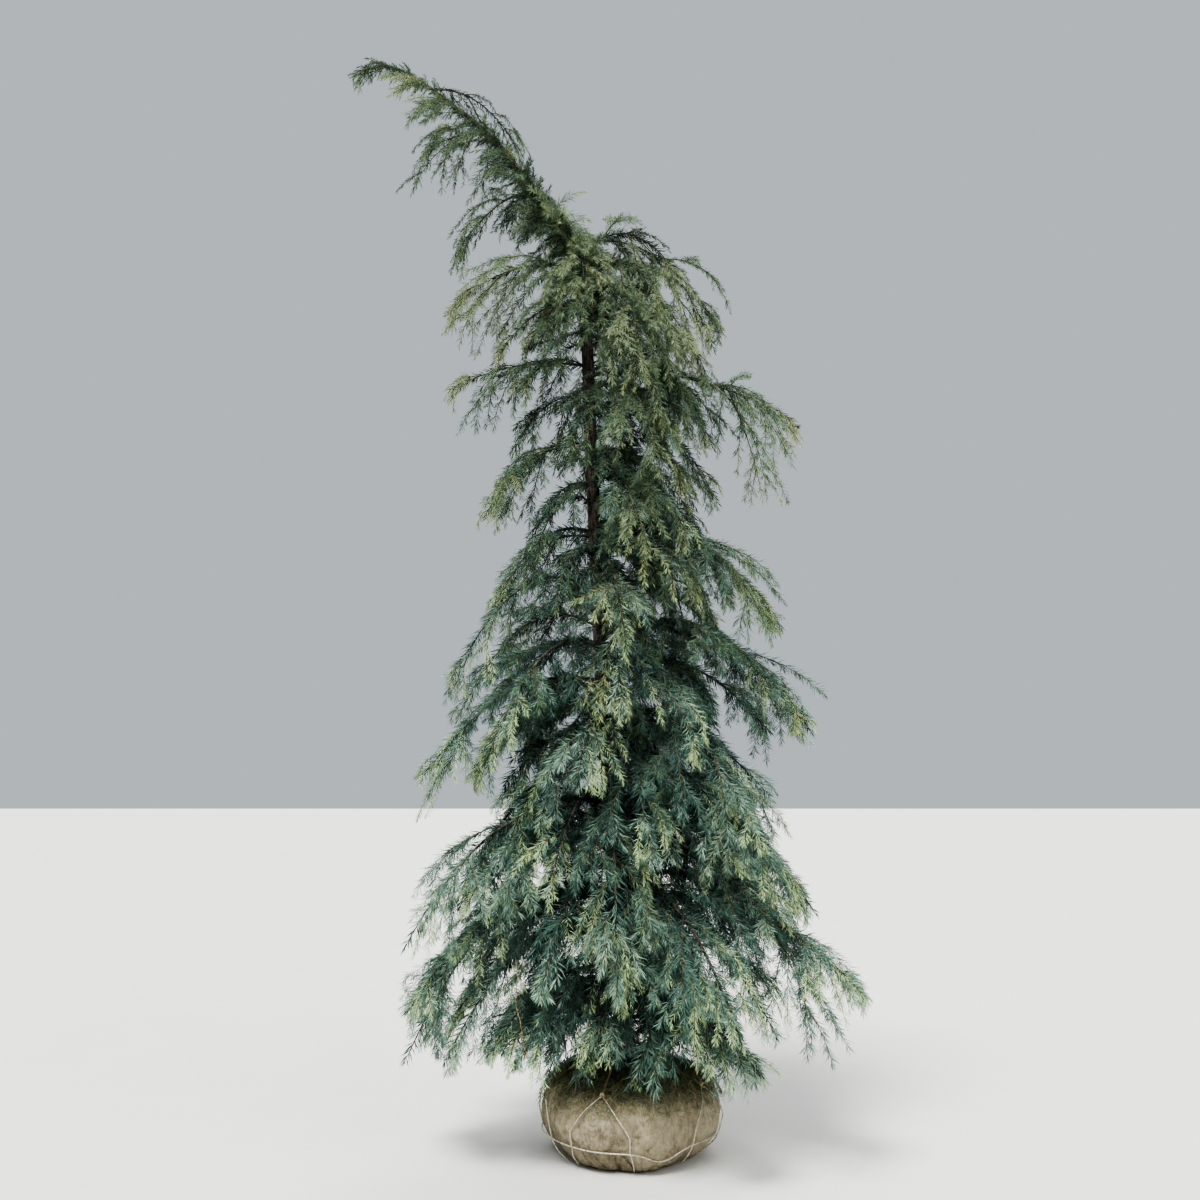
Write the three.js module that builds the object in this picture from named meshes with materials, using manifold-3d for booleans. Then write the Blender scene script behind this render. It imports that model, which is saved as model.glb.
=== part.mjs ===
// A young weeping deodar cedar on its burlapped root ball, with the wire basket and the ropes that lace it.
// Units are millimetres, +Z is up, -Y is the front. The origin is on the flat underside of the root ball.
import * as THREE from "three";
import { mergeVertices } from "three/addons/utils/BufferGeometryUtils.js";
import Module from "manifold-3d";

const wasm = await Module();
wasm.setup();

const UP = new THREE.Vector3(0, 0, 1);
const FRONT = new THREE.Vector3(0, -1, 0);
const GAP = 0.3;

// Root ball: half width and height of its outline, from the flat underside to the flat seat of the trunk
const BALL_OUTLINE = [
  [272, 0],
  [292, 12],
  [330, 50],
  [356, 102],
  [366, 162],
  [360, 214],
  [338, 258],
  [296, 292],
  [222, 314],
  [166, 326],
  [104, 334],
];
const BALL_SIDES = 28;
const BALL_LUMPS = [
  [3, 0.016, 0.6],
  [5, 0.012, 2.1],
];
const GROUND = 334;

// Wire basket: a ring round the lower third, and loops that rise from under the ball to its shoulder.
// Each leg of a loop is a row of points: degrees from the loop's middle, height, and clearance from the ball
const WIRE_RADIUS = 2.6;
const WIRE_SIDES = 3;
const RING_HEIGHT = 94;
const RING_CLEAR = 5.5;
const LOOP_HEADINGS = [-244, -167, -110, -28, 44];
const LOOP_LEG = [
  [22, 14, 5.5],
  [21, 50, 6.5],
  [19, RING_HEIGHT, RING_CLEAR],
  [19, 152, 7.5],
  [10.5, 228, 9.5],
  [2.4, 274, 9.5],
];
const LOOP_TOP = [0, 282, 9.5];
const LOOP_STEPS = 18;

// Ropes: a band of turns round the foot of the trunk, and one rope from it to the top of each wire loop
const ROPE_RADIUS = 4;
const ROPE_SIDES = 5;
const ROPE_LIFT = 5;
const WRAP_HEIGHT = 424;
const WRAP_TALL = 34;
const WRAP_THICK = 17;
const WRAP_SIDES = 12;
const WRAP_EDGE = 3;

// The stem: points up its middle, first the trunk, then the leader that nods over to one side
const TRUNK_LINE = [
  [-24, 0, GROUND - 40],
  [-33, 0, 560],
  [-72, 8, 1250],
  [-118, 2, 2034],
  [-158, -8, 2900],
  [-184, 0, 3500],
  [-220, 0, 3752],
];
const LEADER_LINE = [
  [-304, -6, 3874],
  [-425, -18, 4060],
  [-590, -30, 4272],
  [-800, -38, 4452],
  [-985, -40, 4583],
  [-1105, -40, 4612],
  [-1238, -40, 4556],
];
const TRUNK_FOOT = 35;
const TRUNK_TOP = 22;
const TRUNK_SIDES = 10;
const TRUNK_ROWS = 12;
const FLARE = 20;
const FLARE_HEIGHT = 70;
const LEADER_FOOT = 20;
const LEADER_TIP = 5;
const LEADER_BARE = 0.72;
const LEADER_SIDES = 6;
const LEADER_ROWS = 9;

// Boughs, tier by tier up the trunk: the height where they leave it and their lift there in degrees,
// and for each bough its heading from +X towards +Y, its level reach, and the drop of its tip below the tier
const TIERS = [
  {
    height: 640,
    lift: 8,
    boughs: {
      front_left: [216, 560, 190],
      front: [258, 430, 170],
      front_right: [314, 720, 225],
      back_right: [48, 640, 190],
      back_left: [132, 660, 190],
    },
  },
  {
    height: 970,
    lift: 20,
    boughs: {
      left: [197, 850, 400],
      front_right: [303, 800, 400],
      right: [340, 1000, 320],
      back_right: [62, 780, 350],
      back_left: [128, 790, 350],
    },
  },
  {
    height: 1340,
    lift: 24,
    boughs: {
      front: [272, 640, 640],
      front_left: [222, 600, 420],
      right: [358, 840, 420],
      back: [98, 730, 400],
    },
  },
  {
    height: 1700,
    lift: 24,
    boughs: {
      front_right: [325, 820, 660],
      left: [180, 560, 230],
      front_left: [240, 500, 400],
      back_right: [62, 690, 380],
    },
  },
  {
    height: 2050,
    lift: 24,
    boughs: {
      right: [353, 880, 400],
      front: [278, 450, 520],
      back_left: [128, 620, 330],
    },
  },
  {
    height: 2460,
    lift: 22,
    boughs: {
      right: [350, 780, 380],
      left: [188, 470, 390],
      front: [284, 370, 380],
      back: [82, 560, 330],
    },
  },
  {
    height: 2840,
    lift: 18,
    boughs: {
      front_right: [308, 380, 300],
      left: [176, 450, 260],
      back: [66, 500, 260],
    },
  },
  {
    height: 3200,
    lift: 6,
    boughs: {
      right: [357, 900, 240],
      left: [186, 590, 80],
      back: [108, 470, 200],
    },
  },
  {
    height: 3470,
    lift: 12,
    boughs: {
      right: [338, 520, 240],
      left: [190, 400, 240],
    },
  },
  {
    height: 3676,
    lift: 16,
    boughs: {
      left: [182, 590, 210],
      front: [276, 270, 260],
      back: [92, 380, 230],
    },
  },
];

// The needles of the lowest tiers are blue-green, and those above them olive
const LOW_TIERS = 4;

// Boughs of one tier leave the trunk a little above and below each other, in the order of the list
const STAGGER = [0, 42, -34, 24, -16];

// Branches of the leader: how far along it they leave, then lift, heading, reach and fall as on a bough
const LEADER_BRANCHES = {
  low_right: [0.04, 20, 6, 680, 390],
  low_left: [0.27, -12, 188, 360, 350],
  middle_left: [0.44, 2, 200, 320, 170],
  middle_back: [0.34, 8, 60, 260, 210],
  high_right: [0.62, 14, 18, 420, 250],
};

// The lowest tiers' long boughs show as bare limbs for this share of their reach
const BARE_TIERS = 3;
const BARE_SHARE = 0.3;
const SHORT_BOUGH = 500;
const FALL_POWER = 2.2;
const BOUGH_SIDES = 5;
const BOUGH_TAPER = 0.9;

// The stem of a mass of foliage: half thickness at the trunk, by itself and for each millimetre of reach
const STEM_THICK = 7.5;
const STEM_GAIN = 0.011;
const STEM_TAPER = 0.6;
const STEM_SIDES = 3;

// Sprays along a bough: where they start and end, their length, splay from the bough, and half width
const FIRST_SPRAY = 0.16;
const FIRST_SPRAY_AT = 75;
const LAST_SPRAY = 0.93;
const SPRAY_BASE = 300;
const SPRAY_GAIN = 0.42;
const TIP_ROOM = 70;
const SPLAY_FOOT = 64;
const SPLAY_TIP = 34;
const SPRAY_EDGE = 42;
const SPRAY_FILL = 0.66;
const FOOT_HALF = 2.2;
const LONG_SPRAY = 440;
const SHORT_SPRAY = 200;
const THREE_PAIRS_FROM = 480;
const FOUR_PAIRS_FROM = 700;
const TIP_SPRAY_FROM = 0.8;
const SEED_STEP = 7919;

// The crown's space: a rise above a bough counts more than a drop below it, and neighbours keep a clearance
const ABOVE = 1.2;
const BELOW = 0.6;
const CROWN_CLEARANCE = 7;
const JOIN_TOLERANCE = 1.5;
const SHORTER_TRIES = [1, 0.8, 0.62, 0.48];

// A shoot that stands up at the top of the nodding leader, which is the tree's highest point
const CREST = { heading: 166, length: 130, wide: 16, lift: 50, bend: 20, curl: 0 };
const CREST_AT = 0.5;
const LEADER_SPRAY = 210;

const materials = {
  bark: new THREE.MeshStandardMaterial({ color: 0x5b4a3e, roughness: 0.95, metalness: 0 }),
  low: new THREE.MeshStandardMaterial({ color: 0x5f7f70, roughness: 0.8, metalness: 0 }),
  high: new THREE.MeshStandardMaterial({ color: 0x5c6f4a, roughness: 0.8, metalness: 0 }),
  burlap: new THREE.MeshStandardMaterial({ color: 0x97835c, roughness: 1, metalness: 0 }),
  wire: new THREE.MeshStandardMaterial({ color: 0xc9c4b4, roughness: 0.45, metalness: 0.7 }),
  rope: new THREE.MeshStandardMaterial({ color: 0xc2a878, roughness: 0.95, metalness: 0 }),
};

const radians = THREE.MathUtils.degToRad;
const vector = (point) => new THREE.Vector3(...point);

// A generator of even numbers from 0 to 1 that always gives the same row for the same seed
function sequence(seed) {
  let state = seed;
  return () => {
    state = (state * 16807) % 2147483647;
    return state / 2147483647;
  };
}

// A closed geometry as a solid that can be joined and cut
function solidOf(geometry) {
  geometry.deleteAttribute("normal");
  geometry.deleteAttribute("uv");
  const merged = mergeVertices(geometry, 1e-3);
  const vertProperties = merged.getAttribute("position").array;
  const triVerts = new Uint32Array(merged.index.array);
  return new wasm.Manifold(new wasm.Mesh({ numProp: 3, vertProperties, triVerts }));
}

function geometryOf(solid) {
  const { vertProperties, triVerts } = solid.getMesh();
  const geometry = new THREE.BufferGeometry();
  geometry.setAttribute("position", new THREE.BufferAttribute(vertProperties, 3));
  geometry.setIndex(new THREE.BufferAttribute(triVerts, 1));
  return geometry;
}

// The largest piece of a join, without loose scraps and with sealed hollows filled
function largest(solid) {
  const pieces = solid.decompose();
  return pieces.reduce((best, piece) => (piece.volume() > best.volume() ? piece : best));
}

// A closed tube whose cross-sections are given corner by corner, with a flat foot and a flat or pointed end
function skin(sides, rows, pointed, corner) {
  const tube = new THREE.CylinderGeometry(pointed ? 0 : 1, 1, 1, sides, rows);
  const places = tube.getAttribute("position");
  const corners = (row) => Array.from({ length: sides }, (_, side) => corner(row, side));
  const middle = (row) =>
    corners(row)
      .reduce((sum, point) => sum.add(point), new THREE.Vector3())
      .divideScalar(sides);
  for (let i = 0; i < places.count; i++) {
    const row = Math.round((places.getY(i) + 0.5) * rows);
    const width = Math.hypot(places.getX(i), places.getZ(i));
    const turn = Math.atan2(places.getX(i), places.getZ(i)) / (2 * Math.PI);
    const side = (Math.round(turn * sides) + sides) % sides;
    const point = width < 0.5 / rows ? middle(row) : corner(row, side);
    places.setXYZ(i, point.x, point.y, point.z);
  }
  return tube;
}

// The directions along, across and above a path at one point of it
function frameAt(at, share, above) {
  const step = 0.002;
  const before = at(Math.max(0, share - step));
  const along = at(Math.min(1, share + step)).sub(before).normalize();
  const across = along.clone().cross(above).normalize();
  return { point: at(share), along, across, ridge: across.clone().cross(along) };
}

// A round tapering limb along a path, from one share of its length to another
function limb({ at, radius, from = 0, to = 1, sides, rows, pointed = false, above = UP }) {
  const shareOf = (row) => from + ((to - from) * row) / rows;
  const frames = Array.from({ length: rows + 1 }, (_, row) => frameAt(at, shareOf(row), above));
  return skin(sides, rows, pointed, (row, side) => {
    const { point, across, ridge } = frames[row];
    const turn = (2 * Math.PI * side) / sides;
    const size = pointed && row === rows ? 0 : radius(shareOf(row), turn);
    return point
      .clone()
      .addScaledVector(across, size * Math.sin(turn))
      .addScaledVector(ridge, size * Math.cos(turn));
  });
}

// An arc that leaves its foot at a heading and a lift, and turns aside by curl and down by bend on its way
function arc({ foot, heading, length, lift, bend, curl }) {
  const steps = 24;
  const points = [foot.clone()];
  for (let i = 0; i < steps; i++) {
    const share = (i + 0.5) / steps;
    const turn = radians(heading + curl * share);
    const rise = radians(lift - bend * share);
    const step = new THREE.Vector3(
      Math.cos(turn) * Math.cos(rise),
      Math.sin(turn) * Math.cos(rise),
      Math.sin(rise),
    );
    points.push(points[i].clone().addScaledVector(step, length / steps));
  }
  return (share) => {
    const turn = radians(heading + curl * share);
    const rise = radians(lift - bend * share);
    const along = new THREE.Vector3(
      Math.cos(turn) * Math.cos(rise),
      Math.sin(turn) * Math.cos(rise),
      Math.sin(rise),
    );
    const across = new THREE.Vector3(Math.sin(turn), -Math.cos(turn), 0);
    const point = points[Math.round(share * steps)].clone();
    return { point, along, across, ridge: across.clone().cross(along) };
  };
}

// A spray of needles: a thin ridged blade with saw teeth, pointed at its tip, on an arc
function spray(stationAt, length, wide, teeth) {
  const rows = 2 * teeth;
  return skin(3, rows, true, (row, side) => {
    const tooth = row % 2 === 1;
    const thick = row === 0 ? 2 * FOOT_HALF : 4 + 0.012 * length;
    const share = row === rows ? 1 : (row + (tooth ? 0.3 : 0)) / rows;
    const { point, along, across, ridge } = stationAt(share);
    if (row === rows) return point;
    const outline = 1 - 0.5 * Math.abs(2 * share - 0.8);
    const half = row === 0 ? FOOT_HALF : wide * outline * (tooth ? 1 : 0.34);
    if (side === 0) return point.addScaledVector(ridge, thick * 0.7);
    return point
      .addScaledVector(across, side === 1 ? half : -half)
      .addScaledVector(along, tooth ? 0.5 * half : 0)
      .addScaledVector(ridge, -thick * 0.3 - (row === 0 ? 0 : 0.15 * half));
  });
}

// A bough's middle line: it leaves level and lifted, and falls ever more steeply to its tip
function boughLine({ foot, heading, reach, fall, lift }) {
  const turn = radians(heading);
  const climb = reach * Math.tan(radians(lift));
  return (share) =>
    new THREE.Vector3(
      foot.x + reach * share * Math.cos(turn),
      foot.y + reach * share * Math.sin(turn),
      foot.z + climb * share - (climb + fall) * share ** FALL_POWER,
    );
}

// The straight stretches that stand for a curved line, from one share of it to its end
function chords(at, from, rows) {
  const nodes = Array.from({ length: rows + 1 }, (_, row) => at(from + ((1 - from) * row) / rows));
  return (share) => {
    const place = Math.max(0, ((share - from) / (1 - from)) * rows);
    const row = Math.min(Math.floor(place), rows - 1);
    return nodes[row].clone().lerp(nodes[row + 1], place - row);
  };
}

function teethOf(length) {
  if (length > LONG_SPRAY) return 3;
  return length > SHORT_SPRAY ? 2 : 1;
}

// The sprays of one bough, in pairs, by the seeded rule: none passes the bough's tip by more than TIP_ROOM
function spraysOf(bough, stemAt, pairs) {
  const next = sequence(bough.seed);
  const spread = bough.spread ?? SPRAY_BASE + SPRAY_GAIN * bough.reach;
  const room = (LAST_SPRAY - bough.firstSpray) / pairs;
  const wide = SPRAY_EDGE + SPRAY_FILL * room * bough.reach;
  const made = [];
  for (let pair = 0; pair < pairs; pair++) {
    for (const side of [1, -1]) {
      const share = bough.firstSpray + room * (pair + 0.5 + 0.6 * (next() - 0.5));
      const splay = SPLAY_FOOT + (SPLAY_TIP - SPLAY_FOOT) * share + 14 * (next() - 0.5);
      const left = TIP_ROOM + ((1 - share) * bough.reach) / Math.cos(radians(splay));
      const { along } = frameAt(bough.at, share, UP);
      made.push({
        foot: stemAt(share),
        length: Math.min(spread * (0.85 + 0.3 * next()), left),
        wide: Math.min(wide, 0.3 * left),
        heading: bough.heading + side * splay,
        lift: 0.6 * THREE.MathUtils.radToDeg(Math.asin(along.z)) + 6 + 12 * (next() - 0.5),
        bend: 58 + 34 * next(),
        curl: -side * 22 * next(),
      });
    }
  }
  return made;
}

const stemCurve = new THREE.CatmullRomCurve3([...TRUNK_LINE, ...LEADER_LINE].map(vector));
const trunkPart = (TRUNK_LINE.length - 1) / (TRUNK_LINE.length + LEADER_LINE.length - 1);
const trunkAt = (share) => stemCurve.getPoint(trunkPart * share);
const leaderAt = (share) => stemCurve.getPoint(trunkPart + (1 - trunkPart) * share);

// The trunk's half thickness: an even taper, and at the foot a flare with five root shoulders
function trunkRadius(share, turn) {
  const height = trunkAt(share).z - GROUND;
  const flare = FLARE * Math.exp(-Math.max(0, height) / FLARE_HEIGHT);
  return TRUNK_FOOT + (TRUNK_TOP - TRUNK_FOOT) * share + flare * (1 + 0.35 * Math.cos(5 * turn));
}

const leaderRadius = (share) => LEADER_FOOT + (LEADER_TIP - LEADER_FOOT) * (share / LEADER_BARE) ** 0.8;

// The point of the trunk's middle line at one height
function trunkAtHeight(height) {
  let low = 0;
  let high = 1;
  while (high - low > 1e-5) {
    const middle = (low + high) / 2;
    if (trunkAt(middle).z < height) low = middle;
    else high = middle;
  }
  return trunkAt(low);
}

// The trunk, cut flat where it stands on the root ball
function makeTrunk(growth) {
  const spaced = (share) => trunkAt(share ** 1.5);
  const radius = (share, turn) => trunkRadius(share ** 1.5, turn) + growth;
  const grown = solidOf(limb({ at: spaced, radius, sides: TRUNK_SIDES, rows: TRUNK_ROWS, above: FRONT }));
  const below = new THREE.BoxGeometry(GROUND, GROUND, GROUND).translate(0, 0, GROUND / 2 + GAP);
  return grown.subtract(solidOf(below));
}

function makeLeader(growth) {
  const radius = (share) => leaderRadius(share) + growth;
  const from = growth > 0 ? 0 : (2 * GAP) / leaderAt(0).distanceTo(leaderAt(1));
  const [to, sides, rows] = [LEADER_BARE, LEADER_SIDES, LEADER_ROWS];
  return solidOf(limb({ at: leaderAt, radius, from, to, sides, rows, above: FRONT }));
}

function ballRadius(radius, turn) {
  const lumps = BALL_LUMPS.map(([count, size, start]) => size * Math.sin(count * turn + start));
  return radius * (1 + lumps.reduce((sum, lump) => sum + lump, 0));
}

// Half width of the ball's outline at one height, between its points
function ballOutlineAt(height) {
  const next = BALL_OUTLINE.findIndex(([, z]) => z >= height);
  const [lowRadius, low] = BALL_OUTLINE[next - 1];
  const [highRadius, high] = BALL_OUTLINE[next];
  return lowRadius + ((highRadius - lowRadius) * (height - low)) / (high - low);
}

// The root ball: its outline turned round the middle, then pushed in and out by a few broad lumps
function makeBall() {
  const outline = [[0, 0], ...BALL_OUTLINE, [0, GROUND]].map(([x, y]) => new THREE.Vector2(x, y));
  const ball = new THREE.LatheGeometry(outline, BALL_SIDES).rotateX(Math.PI / 2);
  const places = ball.getAttribute("position");
  for (let i = 0; i < places.count; i++) {
    const turn = Math.atan2(places.getY(i), places.getX(i));
    const radius = ballRadius(Math.hypot(places.getX(i), places.getY(i)), turn);
    places.setXY(i, radius * Math.cos(turn), radius * Math.sin(turn));
  }
  return solidOf(ball);
}

// A round bar along a line of points on the ball or in the air
function bar(points, radius, sides, steps, closed = false) {
  const section = new THREE.Shape();
  for (let i = 0; i <= sides; i++) {
    const turn = (2 * Math.PI * i) / sides + Math.PI / sides;
    const place = [radius * Math.cos(turn), radius * Math.sin(turn)];
    if (i === 0) section.moveTo(...place);
    else section.lineTo(...place);
  }
  const path = new THREE.CatmullRomCurve3(points, closed);
  return solidOf(new THREE.ExtrudeGeometry(section, { extrudePath: path, steps }));
}

// A point just outside the ball at a heading and a height
function onBall(heading, height, clearance) {
  const turn = radians(heading);
  const radius = ballRadius(ballOutlineAt(height), turn) + clearance;
  return new THREE.Vector3(radius * Math.cos(turn), radius * Math.sin(turn), height);
}

function makeBasket(growth) {
  const thick = WIRE_RADIUS + growth;
  const ring = Array.from({ length: BALL_SIDES }, (_, i) =>
    onBall((360 * i) / BALL_SIDES, RING_HEIGHT, RING_CLEAR),
  );
  let basket = bar(ring, thick, WIRE_SIDES, BALL_SIDES, true);
  for (const heading of LOOP_HEADINGS) {
    const place = (side) => ([turn, height, clearance]) => onBall(heading + side * turn, height, clearance);
    const points = [...LOOP_LEG.map(place(-1)), place(0)(LOOP_TOP), ...LOOP_LEG.map(place(1)).reverse()];
    basket = basket.add(bar(points, thick, WIRE_SIDES, LOOP_STEPS));
  }
  return basket;
}

// The ropes, cut clear of the trunk that they go round and of the wires that they hold
function makeRopes(trunk, basket) {
  const middle = trunkAtHeight(WRAP_HEIGHT);
  const inside = 0.7 * TRUNK_FOOT;
  const outside = TRUNK_FOOT + WRAP_THICK;
  const outline = [
    [inside, 0],
    [outside, WRAP_EDGE],
    [outside, WRAP_TALL - WRAP_EDGE],
    [inside, WRAP_TALL],
    [inside, 0],
  ].map(([x, y]) => new THREE.Vector2(x, y));
  const band = new THREE.LatheGeometry(outline, WRAP_SIDES).rotateX(Math.PI / 2);
  let ropes = solidOf(band.translate(middle.x, middle.y, WRAP_HEIGHT - WRAP_TALL / 2));
  for (const heading of LOOP_HEADINGS) {
    const [, height, clearance] = LOOP_TOP;
    const top = onBall(heading, height, clearance);
    const start = middle.clone().add(top.clone().sub(middle).setZ(0).setLength(outside - ROPE_RADIUS));
    const end = top.clone().add(top.clone().sub(start).setLength(ROPE_RADIUS)).addScaledVector(UP, ROPE_LIFT);
    ropes = ropes.add(bar([start, end], ROPE_RADIUS, ROPE_SIDES, 1));
  }
  return largest(ropes.subtract(trunk).subtract(basket));
}

// Every bough of the crown and every branch of the leader, in one list
function listBoughs() {
  const list = [];
  TIERS.forEach(({ height, lift, boughs }, tier) => {
    Object.entries(boughs).forEach(([place, [heading, reach, fall]], index) => {
      const bare = tier < BARE_TIERS && reach >= SHORT_BOUGH ? BARE_SHARE : 0;
      const name = "tier_" + (tier + 1) + "_" + place;
      const foot = trunkAtHeight(height + STAGGER[index]);
      list.push({ name, tier, foot, heading, reach, fall: fall + STAGGER[index], lift, bare });
    });
  });
  for (const [place, [share, lift, heading, reach, fall]] of Object.entries(LEADER_BRANCHES)) {
    const foot = leaderAt(share);
    list.push({ name: "leader_" + place, tier: TIERS.length, foot, heading, reach, fall, lift, bare: 0 });
  }
  list.forEach((bough) => {
    bough.at = boughLine(bough);
    bough.firstSpray = bough.bare ? bough.bare + 0.03 : Math.max(FIRST_SPRAY, FIRST_SPRAY_AT / bough.reach);
    bough.thick = STEM_THICK + STEM_GAIN * bough.reach;
  });
  list.push(leaderTip());
  list.forEach((bough, index) => {
    bough.seed = SEED_STEP * (index + 1);
  });
  return list;
}

// The end of the leader, which is a mass of its own
function leaderTip() {
  const at = (share) => leaderAt(LEADER_BARE + (1 - LEADER_BARE) * share);
  return {
    name: "leader_tip",
    tier: TIERS.length,
    at,
    heading: 180,
    reach: at(0).distanceTo(at(1)),
    bare: 0,
    startsAt: 0.002,
    firstSpray: 0.04,
    thick: 1.5 * LEADER_TIP,
    spread: LEADER_SPRAY,
    crest: [{ ...CREST, foot: at(CREST_AT) }],
  };
}

// Whether a box comes within a millimetre of another
function near(a, b) {
  return [0, 1, 2].every((i) => a.min[i] - 1 < b.max[i] && b.min[i] - 1 < a.max[i]);
}

function clearOf(solid, others) {
  const box = solid.boundingBox();
  return others.every((other) => !near(box, other.boundingBox()) || solid.minGap(other, 1) > GAP);
}

// How far a point is from a place on a bough, where what hangs below it counts as nearer than what is above
function hangingDistance(place, point) {
  const rise = point.z - place.z;
  return Math.hypot(point.x - place.x, point.y - place.y, rise > 0 ? ABOVE * rise : BELOW * rise);
}

// The crown's space is shared out: each point belongs to the bough that it hangs nearest to
function shareOut(boughs) {
  const lines = boughs.map(({ at }) => Array.from({ length: 13 }, (_, i) => at(0.1 + 0.075 * i)));
  return (owner, point) => {
    const limit = CROWN_CLEARANCE + Math.min(...lines[owner].map((place) => hangingDistance(place, point)));
    const isFar = (place) => hangingDistance(place, point) > limit;
    return lines.every((line, i) => i === owner || line.every(isFar));
  };
}

function corners(geometry) {
  const places = geometry.getAttribute("position");
  return Array.from({ length: places.count }, (_, i) => new THREE.Vector3().fromBufferAttribute(places, i));
}

// The bare part of a bough, which tapers from the trunk to where the bough enters its foliage
function bareLimb(bough, growth) {
  const radius = (share) => bough.thick * (1 - BOUGH_TAPER * share) + growth;
  const to = bough.bare + (1.3 * growth) / bough.reach;
  return solidOf(limb({ at: bough.at, radius, to, sides: BOUGH_SIDES, rows: 2 }));
}

function pairsOf(reach) {
  if (reach > FOUR_PAIRS_FROM) return 4;
  return reach > THREE_PAIRS_FROM ? 3 : 2;
}

// The spray that carries on from the end of a bough
function tipSpray(bough, stemAt) {
  const foot = stemAt(TIP_SPRAY_FROM);
  const { along } = frameAt(bough.at, TIP_SPRAY_FROM + 0.06, UP);
  return {
    foot,
    heading: bough.heading,
    length: 1.08 * foot.distanceTo(bough.at(1)),
    wide: SPRAY_EDGE + 0.1 * bough.reach,
    lift: THREE.MathUtils.radToDeg(Math.asin(along.z)),
    bend: 22,
    curl: 0,
  };
}

// One mass of foliage: a stem along the outer bough, and its sprays, each as long as its space allows
function makeMass(bough, index, belongs, limbs, core) {
  const from = bough.startsAt ?? bough.bare;
  const radius = (share) => bough.thick * (1 - STEM_TAPER * share);
  const rows = bough.reach > SHORT_BOUGH ? 5 : 4;
  const stemAt = chords(bough.at, from, rows);
  let mass = solidOf(limb({ at: stemAt, radius, from, sides: STEM_SIDES, rows, pointed: true }));
  const wanted = [...spraysOf(bough, stemAt, pairsOf(bough.reach)), tipSpray(bough, stemAt)];
  for (const twig of [...wanted, ...(bough.crest ?? [])]) {
    for (const shorter of SHORTER_TRIES) {
      const length = twig.length * shorter;
      const blade = spray(arc({ ...twig, length }), length, twig.wide, teethOf(length));
      if (!corners(blade).every((point) => belongs(index, point))) continue;
      const solid = solidOf(blade);
      if (!clearOf(solid, limbs)) continue;
      mass = mass.add(solid);
      break;
    }
  }
  return largest(mass.simplify(JOIN_TOLERANCE).subtract(core).subtract(bareLimb(bough, GAP)));
}

function named(name, solid, material) {
  const mesh = new THREE.Mesh(geometryOf(solid), material.clone());
  mesh.name = name;
  return mesh;
}

const tree = new THREE.Group();
const limbs = new THREE.Group();
const foliage = new THREE.Group();
const rootBall = new THREE.Group();
tree.add(limbs, foliage, rootBall);

const trunk = makeTrunk(0);
const leader = makeLeader(0);
const core = makeTrunk(GAP).add(makeLeader(GAP));
limbs.add(named("trunk", trunk, materials.bark), named("leader", leader, materials.bark));

const ball = makeBall();
const basket = makeBasket(0);
const ropes = makeRopes(makeTrunk(1.2 * GAP), makeBasket(3 * GAP));
rootBall.add(
  named("root_ball", ball, materials.burlap),
  named("wire_basket", basket, materials.wire),
  named("ropes", ropes, materials.rope),
);

const boughs = listBoughs();
const solids = [trunk, leader, ball, basket, ropes];
for (const bough of boughs.filter(({ bare }) => bare > 0)) {
  const fitted = largest(bareLimb(bough, 0).subtract(core));
  solids.push(fitted);
  limbs.add(named(bough.name + "_bough", fitted, materials.bark));
}

const belongs = shareOut(boughs);
boughs.forEach((bough, index) => {
  const mass = makeMass(bough, index, belongs, solids, core);
  solids.push(mass);
  const leaf = bough.tier < LOW_TIERS ? materials.low : materials.high;
  foliage.add(named(bough.name + "_foliage", mass, leaf));
});

export default tree;
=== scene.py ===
"""A young weeping deodar cedar on its burlapped root ball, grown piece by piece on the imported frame."""
import math

import bpy
import numpy as np
from bpy.props import FloatProperty, FloatVectorProperty, IntProperty, PointerProperty
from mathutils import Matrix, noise


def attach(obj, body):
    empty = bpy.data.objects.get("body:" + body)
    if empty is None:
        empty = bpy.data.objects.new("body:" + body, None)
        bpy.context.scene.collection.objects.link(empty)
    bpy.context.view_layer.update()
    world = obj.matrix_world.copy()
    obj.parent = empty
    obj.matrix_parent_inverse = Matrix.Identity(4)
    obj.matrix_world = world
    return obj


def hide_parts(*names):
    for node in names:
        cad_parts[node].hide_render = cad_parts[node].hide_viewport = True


bl_info = {
    "name": "Weeping Cedar on its Root Ball",
    "version": (1, 0, 0),
    "blender": (4, 5, 0),
    "location": "View3D > Sidebar > Cedar",
    "description": "Builds a weeping cedar: trunk, boughs, needles, root ball, wire basket and ropes",
    "category": "Add Mesh",
}

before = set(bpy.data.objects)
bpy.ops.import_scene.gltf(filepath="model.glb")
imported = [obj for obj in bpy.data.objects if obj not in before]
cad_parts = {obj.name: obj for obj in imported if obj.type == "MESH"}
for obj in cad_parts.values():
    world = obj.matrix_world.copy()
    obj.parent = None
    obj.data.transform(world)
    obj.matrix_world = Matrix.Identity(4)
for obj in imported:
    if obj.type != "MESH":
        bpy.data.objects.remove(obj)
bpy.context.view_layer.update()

MM = 0.001
UP = np.array([0.0, 0.0, 1.0])
FRONT = np.array([0.0, -1.0, 0.0])
RIDES_ON = "root"
LARGEST_PIECE = 190000

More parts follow.
